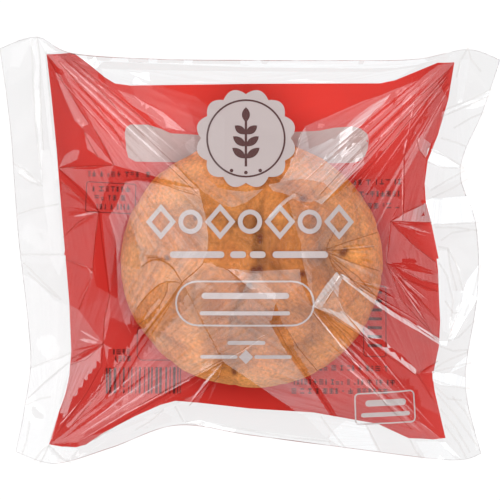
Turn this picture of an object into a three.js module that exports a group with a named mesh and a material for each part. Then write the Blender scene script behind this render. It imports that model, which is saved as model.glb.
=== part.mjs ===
// A wrapped cream puff, in millimetres, +Z up.
// The puff lies in a clear pillow pack, which is one sealed solid: the film's outer shape,
// lying on its back. Its flat end seals are at -X and +X, its folded sides at -Y and +Y.
// A point of the film is given by u, from the left seal's edge (0) to the right one's (1),
// and v, from the lower folded side (0) to the upper one (1).

import * as THREE from "three";

// Driving dimensions.
const PACK_HEIGHT = 45; // from the resting face to the film over the puff's top
const SEAL_SHARE = 0.085; // each end seal's share of u
// The seals' widths along the pack, evenly spaced from the lower to the upper folded side.
const SEAL_WIDTHS = { left: [10.6, 13.5, 15, 15, 15.3], right: [10.6, 11, 13.5, 12.5, 14.8] };
const SEAL_THICKNESS = 1; // the films pressed together, thickened for a solid
const DOME = { x: 0.5, y: -4.3, radiusX: 44.9, radiusY: 42.6, foot: 19 }; // film over the puff
const BASE_RADIUS = 0.45; // flat spot that the pack rests on, as a share of the way to the rim
const BASE_SHIFT = 0.07; // it is a little nearer the lower side, as a share of v
const SEAL_FALL = 1.05; // the back film from the flat spot to the rim: 1 is straight, less rounder
const BACK_FALL = 0.6;
const COLUMNS = 56;
const ROWS = 44;

// The pack's outline seen from above, pulled in between the corners: each side as points [x, y].
const LEFT_SIDE = [[-77.2, -66.5], [-74.6, -54], [-72.3, -37], [-73.6, -20], [-76.3, 6],
  [-78.5, 37.5], [-82.2, 66.2]];
const RIGHT_SIDE = [[76.2, -67.2], [71, -43], [74.8, -14], [74.6, 8], [69.4, 26.5],
  [76.3, 45], [82.2, 62.5]];
const LOWER_SIDE = [[-77.2, -66.5], [-64, -70.1], [-45.5, -64.8], [-24, -57.4], [0, -60.6],
  [30, -64.6], [66, -69.1], [76.2, -67.2]];
const UPPER_SIDE = [[-82.2, 66.2], [-70, 69.8], [-58, 64.3], [-30, 62.3], [0, 61.9],
  [30, 61.9], [54, 62.4], [71.5, 65.8], [82.2, 62.5]];

// Heights of the rim, where the front and the back film meet.
const CORNER_HEIGHTS = { lowerLeft: 18, lowerRight: 17, upperLeft: 21, upperRight: 20 };
const FOLD_LIFT = 5; // the folded sides bulge up in the middle
const SEAL_WAVE = { left: 1.6, right: 2.6 }; // the end seals wave up and down
const SEAL_WAVES = 1.5; // waves along a seal
const SEAL_DROP = 1.6; // a seal's outer edge hangs lower than its inner one
const SEAL_STEP = { share: 0.3, drop: 0.75 }; // most of the drop is in the seal's inner part
// Small folds across the seals: folds along a seal, height, lean and where they start.
const SEAL_FOLDS = [
  { count: 4.6, height: 0.45, lean: 0.3, start: 0.1 },
  { count: 7.3, height: 0.28, lean: -0.4, start: 0.6 },
];

// Straight folds of the front film, from a corner towards the puff: a rise above the film
// (or a fall, if negative) that is greatest between the two ends.
const FRONT_FOLDS = [
  { from: [-66, -63.9], to: [-21.8, -10.4], rise: 2, width: 5 },
  { from: [-62.7, -63.9], to: [-8.6, -36.1], rise: 1.8, width: 5 },
  { from: [-62, -52], to: [-46, -32], rise: -1.5, width: 5 },
  { from: [-66.7, 64.2], to: [-16.5, 19.6], rise: 2, width: 6 },
  { from: [-60, 48], to: [-44, 28], rise: -1.5, width: 5 },
  { from: [-48, 56], to: [-16, 36], rise: -1.5, width: 6 },
  { from: [66, 60.9], to: [19.8, 13], rise: 2, width: 6 },
  { from: [60, 42], to: [36, 16], rise: -1.5, width: 6 },
  { from: [50, 54], to: [18, 30], rise: -1.5, width: 6 },
  { from: [64.4, -61.9], to: [20.1, -17.7], rise: 1.5, width: 5 },
  { from: [61, -46], to: [40, -38], rise: -1.5, width: 4 },
  { from: [62, -30.2], to: [28.7, -8.1], rise: 1.5, width: 4 },
  { from: [60, -41.7], to: [20.1, -17.7], rise: 1.8, width: 4 },
  { from: [-62.7, 26.9], to: [-44.2, 27.6], rise: 1.5, width: 4 },
  { from: [-62, 14.4], to: [-49.2, 12.7], rise: 1.5, width: 4 },
  { from: [-60.7, -3.1], to: [-51.5, -6.4], rise: 1.5, width: 4 },
  { from: [-58.7, -37.5], to: [-47.9, -30.5], rise: 1.5, width: 4 },
  { from: [60, 9], to: [45.9, 9.4], rise: 1.5, width: 4 },
  { from: [61.4, -8.1], to: [44.2, -4.1], rise: 1.5, width: 4 },
];

// The object's centre seen from above, so that the origin is under the middle of its box.
const BOX_CENTRE = [0, -0.15];

const mix = THREE.MathUtils.lerp;
const clamp = THREE.MathUtils.clamp;

function spline(points) {
  const curve = new THREE.SplineCurve(points.map(([x, y]) => new THREE.Vector2(x, y)));
  curve.arcLengthDivisions = 400;
  return curve;
}

const OUTLINE = {
  left: spline(LEFT_SIDE),
  right: spline(RIGHT_SIDE),
  lower: spline(LOWER_SIDE),
  upper: spline(UPPER_SIDE),
};

// A value from a list that is evenly spaced from 0 to 1.
function valueAt(list, share) {
  const place = clamp(share, 0, 1) * (list.length - 1);
  const start = Math.min(Math.floor(place), list.length - 2);
  return mix(list[start], list[start + 1], place - start);
}

// Where a point of the film lies seen from above.
function plan(u, v) {
  const length = OUTLINE.right.getPointAt(v).x - OUTLINE.left.getPointAt(v).x;
  const left = valueAt(SEAL_WIDTHS.left, v) / length;
  const right = 1 - valueAt(SEAL_WIDTHS.right, v) / length;
  const inside = 1 - 2 * SEAL_SHARE;
  if (u < SEAL_SHARE) return patch((u / SEAL_SHARE) * left, v);
  if (u > 1 - SEAL_SHARE) return patch(1 - ((1 - u) / SEAL_SHARE) * (1 - right), v);
  return patch(mix(left, right, (u - SEAL_SHARE) / inside), v);
}

// A patch stretched between the four sides.
function patch(u, v) {
  const lower = OUTLINE.lower.getPointAt(u);
  const upper = OUTLINE.upper.getPointAt(u);
  const left = OUTLINE.left.getPointAt(v);
  const right = OUTLINE.right.getPointAt(v);
  const between = (key) => {
    const sides = mix(lower[key], upper[key], v) + mix(left[key], right[key], u);
    const start = mix(OUTLINE.left.points[0][key], OUTLINE.right.points[0][key], u);
    const end = mix(OUTLINE.left.points.at(-1)[key], OUTLINE.right.points.at(-1)[key], u);
    return sides - mix(start, end, v);
  };
  return [between("x"), between("y")];
}

// Height of the layer midway between the films at the rim, carried through the whole pack.
function middleHeight(u, v) {
  const lower = mix(CORNER_HEIGHTS.lowerLeft, CORNER_HEIGHTS.lowerRight, u);
  const upper = mix(CORNER_HEIGHTS.upperLeft, CORNER_HEIGHTS.upperRight, u);
  const lift = FOLD_LIFT * Math.sin(Math.PI * clamp(u, 0, 1)) ** 0.8;
  const atSeal = Math.abs(2 * u - 1) ** 3 * Math.sqrt(Math.sin(Math.PI * clamp(v, 0, 1)));
  const size = mix(SEAL_WAVE.left, SEAL_WAVE.right, u);
  const wave = size * Math.cos(2 * Math.PI * SEAL_WAVES * v + Math.PI * u);
  const intoSeal = clamp(Math.max(SEAL_SHARE - u, u - 1 + SEAL_SHARE) / SEAL_SHARE, 0, 1);
  const { share, drop } = SEAL_STEP;
  const fallen = intoSeal < share
    ? (drop * intoSeal) / share
    : mix(drop, 1, (intoSeal - share) / (1 - share));
  return mix(lower, upper, v) + lift + wave * atSeal - SEAL_DROP * fallen
    + sealFolds(u, v, intoSeal);
}

function sealFolds(u, v, intoSeal) {
  let height = 0;
  for (const fold of SEAL_FOLDS) {
    const side = Math.sign(u - 0.5);
    const other = u > 0.5 ? 0.37 : 0; // the right seal's folds lie elsewhere than the left one's
    const turn = fold.count * v + fold.lean * intoSeal * side + fold.start + other;
    height += fold.height * (4 * Math.abs(turn - Math.floor(turn) - 0.5) - 1);
  }
  const atCorner = Math.min(1, 12 * Math.min(v, 1 - v));
  return height * Math.min(3 * intoSeal, 1) * Math.max(0, atCorner);
}

// How far a point is out from the flat spot's centre: `round` as a circle, `out` as a share of the
// way to the rim, and `across` is 1 towards the folded sides and 0 towards the seals.
function position(u, v) {
  const s = clamp((2 * u - 1) / (1 - 2 * SEAL_SHARE), -1, 1);
  const t = 2 * v - 1 + BASE_SHIFT * (1 - (2 * v - 1) ** 2);
  const round = Math.hypot(s, t);
  return {
    round,
    out: Math.max(Math.abs(s), Math.abs(t)),
    across: round > 0 ? (t / round) ** 2 : 0,
  };
}

// The rim that the front film falls to, the seals' inner lines and the folded sides, as points
// seen from the dome's middle and sorted by their angle.
const RIM = rimAround();

function rimAround() {
  const steps = 60;
  const spots = [];
  for (let step = 0; step < steps; step++) {
    const along = step / steps;
    const u = mix(SEAL_SHARE, 1 - SEAL_SHARE, along);
    spots.push([u, 0], [1 - u, 1], [SEAL_SHARE, 1 - along], [1 - SEAL_SHARE, along]);
  }
  const rim = spots.map(([u, v]) => {
    const [x, y] = plan(u, v);
    return {
      angle: Math.atan2(y - DOME.y, x - DOME.x),
      reach: Math.hypot(x - DOME.x, y - DOME.y),
      height: middleHeight(u, v) + SEAL_THICKNESS / 2,
    };
  });
  rim.sort((a, b) => a.angle - b.angle);
  const first = { ...rim[0], angle: rim[0].angle + 2 * Math.PI };
  const last = { ...rim.at(-1), angle: rim.at(-1).angle - 2 * Math.PI };
  return [last, ...rim, first];
}

// How far away and how high the rim is at an angle seen from the dome's middle.
function rimAt(angle) {
  const next = RIM.findIndex((spot) => spot.angle > angle);
  const [a, b] = [RIM[next - 1], RIM[next]];
  const share = (angle - a.angle) / (b.angle - a.angle);
  return { reach: mix(a.reach, b.reach, share), height: mix(a.height, b.height, share) };
}

function foldHeight(x, y) {
  let height = 0;
  for (const { from, to, rise, width } of FRONT_FOLDS) {
    const run = [to[0] - from[0], to[1] - from[1]];
    const length = Math.hypot(...run);
    const along = ((x - from[0]) * run[0] + (y - from[1]) * run[1]) / length;
    const aside = Math.abs((x - from[0]) * run[1] - (y - from[1]) * run[0]) / length;
    if (along > 0 && along < length && aside < width) {
      height += rise * (1 - aside / width) * Math.sin((Math.PI * along) / length) ** 0.7;
    }
  }
  return height;
}

function backHeight(u, v) {
  const place = position(u, v);
  let share = 0;
  if (place.round > BASE_RADIUS) {
    const edge = (BASE_RADIUS * place.out) / place.round;
    share = clamp((place.out - edge) / (1 - edge), 0, 1) ** 1.4;
  }
  const fall = mix(SEAL_FALL, BACK_FALL, place.across);
  return (middleHeight(u, v) - SEAL_THICKNESS / 2) * (1 - (1 - share) ** fall);
}

// The film lies on the dome, and from where it leaves it, it is drawn straight to the rim. The
// dome is worked with as a ball of radius 1.
function frontHeight(u, v) {
  const [x, y] = plan(u, v);
  const angle = Math.atan2(y - DOME.y, x - DOME.x);
  const away = Math.hypot(x - DOME.x, y - DOME.y);
  const rim = rimAt(angle);
  const seal = middleHeight(u, v) + SEAL_THICKNESS / 2;
  if (away >= rim.reach) return seal;
  const radius = 1 / Math.hypot(Math.cos(angle) / DOME.radiusX, Math.sin(angle) / DOME.radiusY);
  const rise = PACK_HEIGHT - DOME.foot;
  const reach = rim.reach / radius;
  const level = (rim.height - DOME.foot) / rise;
  const leave = Math.atan2(level, reach) + Math.acos(1 / Math.hypot(reach, level));
  const [edge, top] = [Math.cos(leave), Math.sin(leave)];
  const at = away / radius;
  const onDome = at <= edge;
  const line = top + ((level - top) * (at - edge)) / (reach - edge);
  const film = DOME.foot + rise * (onDome ? Math.sqrt(1 - at ** 2) : line);
  const folded = film + foldHeight(x, y) * Math.min(1, 6 * (1 - away / rim.reach));
  return Math.min(PACK_HEIGHT, Math.max(folded, backHeight(u, v) + SEAL_THICKNESS));
}

// The pack as one closed body: the front film, the back film and a narrow wall round the rim.
function packGeometry() {
  const vertices = [];
  const faces = [];
  const layerSize = (COLUMNS + 1) * (ROWS + 1);
  for (const height of [frontHeight, backHeight]) {
    for (let row = 0; row <= ROWS; row++) {
      for (let column = 0; column <= COLUMNS; column++) {
        const u = column / COLUMNS;
        const v = row / ROWS;
        const [x, y] = plan(u, v);
        vertices.push(x - BOX_CENTRE[0], y - BOX_CENTRE[1], height(u, v));
      }
    }
  }
  const front = (column, row) => row * (COLUMNS + 1) + column;
  const back = (column, row) => layerSize + front(column, row);
  // A square's two triangles: its diagonal runs from a to c, or from b to d.
  const square = (a, b, c, d, fromFirst = true) => {
    if (fromFirst) faces.push(a, b, c, a, c, d);
    else faces.push(b, c, d, b, d, a);
  };
  for (let row = 0; row < ROWS; row++) {
    for (let column = 0; column < COLUMNS; column++) {
      // The diagonal points at the puff, as the folds do.
      const rising = (column < COLUMNS / 2) === (row < ROWS / 2);
      const corners = [[column, row], [column + 1, row], [column + 1, row + 1], [column, row + 1]];
      const [a, b, c, d] = corners;
      square(front(...a), front(...b), front(...c), front(...d), rising);
      square(back(...a), back(...d), back(...c), back(...b), rising);
    }
  }
  for (let column = 0; column < COLUMNS; column++) {
    const next = column + 1;
    square(back(column, 0), back(next, 0), front(next, 0), front(column, 0));
    square(back(next, ROWS), back(column, ROWS), front(column, ROWS), front(next, ROWS));
  }
  for (let row = 0; row < ROWS; row++) {
    const next = row + 1;
    square(back(0, next), back(0, row), front(0, row), front(0, next));
    square(back(COLUMNS, row), back(COLUMNS, next), front(COLUMNS, next), front(COLUMNS, row));
  }
  const geometry = new THREE.BufferGeometry();
  geometry.setAttribute("position", new THREE.Float32BufferAttribute(vertices, 3));
  geometry.setIndex(faces);
  geometry.computeVertexNormals();
  return geometry;
}

const film = new THREE.MeshStandardMaterial({ color: 0xdc6a60, roughness: 0.12, metalness: 0 });

function sealedPack() {
  const mesh = new THREE.Mesh(packGeometry(), film);
  mesh.name = "sealed_pack";
  return mesh;
}

const creamPuff = new THREE.Group();
creamPuff.add(sealedPack());

export default creamPuff;
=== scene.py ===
"""A wrapped cream puff: a choux bun in a clear pillow pack with white print on the front film
and red print on the back film, lying on its back, seen from straight above.

The front film hangs as a tent from the puff to the rim. Between its folds it is made of facets,
and each facet mirrors more or less of the light panels.
Shapes are worked out in millimetres, in the CAD model's frame, and turned into metres last.
"""

import math
import random

import bpy
import numpy as np
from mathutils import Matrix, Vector, noise
from mathutils.bvhtree import BVHTree
from mathutils.geometry import delaunay_2d_cdt


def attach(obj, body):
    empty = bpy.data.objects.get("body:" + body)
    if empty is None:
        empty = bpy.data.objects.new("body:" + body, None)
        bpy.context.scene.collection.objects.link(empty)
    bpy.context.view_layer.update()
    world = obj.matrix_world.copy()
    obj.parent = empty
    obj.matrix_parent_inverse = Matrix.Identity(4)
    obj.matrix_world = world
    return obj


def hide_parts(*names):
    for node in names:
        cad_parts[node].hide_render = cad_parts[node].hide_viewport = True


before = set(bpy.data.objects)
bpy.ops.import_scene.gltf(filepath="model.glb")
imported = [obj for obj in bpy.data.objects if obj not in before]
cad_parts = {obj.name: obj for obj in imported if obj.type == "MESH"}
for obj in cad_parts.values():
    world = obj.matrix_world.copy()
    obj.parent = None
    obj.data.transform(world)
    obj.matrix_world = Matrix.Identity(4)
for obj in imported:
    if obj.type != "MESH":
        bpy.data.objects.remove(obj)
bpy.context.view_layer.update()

MM = 0.001
PIXEL = 0.33  # mm on the object for each pixel of the photograph
CENTRE_PX = (250.0, 249.5)  # where the pack's middle is in the photograph
BOX_SHIFT = 0.15  # mm, the CAD model's origin under the middle of its box

# ------------------------------------------------------------------ the film's sizes
SEAL_SHARE = 0.085  # each end seal's share of the flat film's length
FILM_GAP = 0.12  # between the two films of a seal
FILM_TOP = 45.0
FILM_TINT = (0.922, 0.92, 0.921)  # the share of light that one film lets through
BACK_COLUMNS = 168
BACK_ROWS = 140
FRONT_STEP = 1.4  # between the points of the front film

LEFT_SIDE = [(-77.2, -66.5), (-74.6, -54), (-72.3, -37), (-73.6, -20), (-76.3, 6),
             (-78.5, 37.5), (-82.2, 66.2)]
RIGHT_SIDE = [(76.2, -67.2), (71, -43), (74.8, -14), (74.6, 8), (69.4, 26.5),
              (76.3, 45), (82.2, 62.5)]
LOWER_SIDE = [(-77.2, -66.5), (-64, -70.1), (-45.5, -64.8), (-24, -57.4), (0, -60.6),
              (30, -64.6), (66, -69.1), (76.2, -67.2)]
UPPER_SIDE = [(-82.2, 66.2), (-70, 69.8), (-58, 64.3), (-30, 62.3), (0, 61.9),
              (30, 61.9), (54, 62.4), (71.5, 65.8), (82.2, 62.5)]

# The rim's heights at its four corners, how far its middle is lifted, and the seals' waves.
RIM_CORNERS = {"lower_left": 18, "lower_right": 17, "upper_left": 21, "upper_right": 20}
RIM_LIFT = 5.0
SEAL_WAVES = 1.5
SEAL_WAVE = {"left": 1.6, "right": 2.6}
SEAL_DROP = 1.6
SEAL_STEP = 0.3  # most of the drop is in the seal's inner part
# Small folds across the seals: folds along the seal, height in mm, lean, start.
SEAL_FOLDS = [(4.6, 0.45, 0.3, 0.1), (7.3, 0.28, -0.4, 0.6), (11.7, 0.1, 0.5, 0.3)]

# The red print's sides, in the photograph. Its left and right ones are the seals' inner lines.
RED_LEFT = [(50, 443), (60, 410), (66, 393), (70, 375), (72, 350), (70, 300), (67, 262),
            (66, 250), (62, 200), (58, 150), (53, 100), (48, 55)]
RED_RIGHT = [(445, 437), (434, 390), (432, 375), (438, 345), (439, 320), (438, 300), (437, 270),
             (436, 250), (431, 225), (425, 200), (424, 183), (427, 160), (437, 135), (447, 100),
             (453, 63)]
RED_LOWER = [(50, 443), (62, 446), (76, 446.6), (86, 444), (104, 432), (135, 416), (160, 405),
             (175, 401), (199, 403), (250, 409), (314, 413), (378, 424), (409, 438), (433, 439),
             (445, 437)]
RED_UPPER = [(48, 55), (75, 54), (90, 65), (105, 77), (115, 83), (130, 85), (250, 83),
             (380, 83), (395, 80), (415, 72), (437, 63), (453, 63)]

# ------------------------------------------------------------------ the puff's sizes
PUFF_CENTRE = (0.5, -4.3)
PUFF_RADII = (43.7, 41.4)
PUFF_HEIGHT = 43.5
PUFF_EQUATOR = 19.0
PUFF_GAP = 0.6
TENT_GAP = 1.2  # under the folds' ends, so that flat facets clear the puff between them
CREASE_LIFT = 1.2  # how far the facets' corners are off the tent at most

# Wide folds of the front film, as in the CAD model: their ends, rise and half width in mm.
FOLDS = [
    ((-66, -63.9), (-21.8, -10.4), 2, 5), ((-62.7, -63.9), (-8.6, -36.1), 1.8, 5),
    ((-62, -52), (-46, -32), -1.5, 5), ((-66.7, 64.2), (-16.5, 19.6), 2, 6),
    ((-60, 48), (-44, 28), -1.5, 5), ((-48, 56), (-16, 36), -1.5, 6),
    ((66, 60.9), (19.8, 13), 2, 6), ((60, 42), (36, 16), -1.5, 6),
    ((50, 54), (18, 30), -1.5, 6), ((64.4, -61.9), (20.1, -17.7), 1.5, 5),
    ((61, -46), (40, -38), -1.5, 4), ((62, -30.2), (28.7, -8.1), 1.5, 4),
    ((60, -41.7), (20.1, -17.7), 1.8, 4), ((-62.7, 26.9), (-44.2, 27.6), 1.5, 4),
    ((-62, 14.4), (-49.2, 12.7), 1.5, 4), ((-60.7, -3.1), (-51.5, -6.4), 1.5, 4),
    ((-58.7, -37.5), (-47.9, -30.5), 1.5, 4), ((60, 9), (45.9, 9.4), 1.5, 4),
    ((61.4, -8.1), (44.2, -4.1), 1.5, 4),
]

# Grooves of the crust: points in the photograph, depth and half width in mm.
GROOVES = [
    ([(267, 186), (262, 202), (257, 220), (259, 240), (260, 262), (252, 280), (240, 298),
      (233, 315), (228, 336)], 2.2, 2.6),
    ([(262, 228), (240, 222), (222, 212)], 1.0, 3.0),
    ([(267, 262), (290, 275), (318, 280)], 1.1, 3.0),
    ([(150, 330), (172, 345), (200, 352)], 1.0, 2.5),
    ([(130, 230), (142, 262), (140, 290)], 0.8, 2.5),
    ([(318, 190), (345, 222), (352, 256)], 0.9, 3.0),
    ([(285, 350), (310, 345), (335, 325)], 0.8, 2.5),
]

# Small dark spots of the crust: places in the photograph and radii in mm.
SPOTS = [((260, 235), 0.9), ((260, 239), 0.7), ((344, 252), 1.2), ((347, 249), 0.9), ((254, 269), 1.1),
         ((260, 268), 1.2), ((303, 273), 1.1), ((303, 198), 1.2), ((195, 216), 1.0), ((234, 373), 0.9),
         ((313, 231), 0.6), ((168, 257), 0.9), ((249, 285), 0.9)]

CRUST_FOLD_SIZES = {"cracks": 15, "lobes": 14, "folds": 5}  # mm
DEEPEST = 2.6  # mm, the depth at which the painted shade of the crust is darkest

# How far the prints and the painted crease shade lines are off the films, in mm.
LIFTS = {"red": 0.2, "on_red": 0.35, "white": -0.1, "brown": -0.02, "crease": 0.03}

# ------------------------------------------------------------------ the painted shade lines along the film's edges
EDGE_REACH = 0.1  # each seal's share of the film's length, where the folded sides' lines end
# Painted shade: a dark line along each folded side's edge and a grey one along each seal's edge, where
# the clear film's edge shows dark.
FOLD_EDGE_SHADE = {"width": 0.13, "least": 0.02, "color": (0.3, 0.1, 0.09)}
SEAL_EDGE_SHADE = {"width": 0.06, "least": 0.07, "color": (0.62, 0.6, 0.6)}

# ------------------------------------------------------------------ the light panels
# Panels lie flat above the pack and show only in reflections. x and y are in units of their height.
PANEL_HEIGHT = 0.7
PANEL_COLOUR = (0.96, 0.98, 1)
PANELS = {
    "left": {"x": (-9, -0.3), "y": (-7, 7), "radiance": 2.0},
    "right": {"x": (0.3, 9), "y": (-7, 7), "radiance": 1.0},
    "lower": {"x": (-0.3, 0.3), "y": (-7, -0.14), "radiance": 1.0},
    "upper": {"x": (-0.3, 0.3), "y": (0.14, 7), "radiance": 1.0},
}

TOP_PANEL = (1.1, 0.7, 1.3)  # m: across, along and height of the panel over the others' gap
FILL = {"height": 1.4, "size": 1.5, "power": 27}  # the lamp that lights the puff and the prints
ROOM_LIGHT = 0.12
CAMERA_HEIGHT = 0.9  # m
SHARP_PLANE = 0.016  # m, the height at which a pixel of the photograph is PIXEL wide

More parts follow.
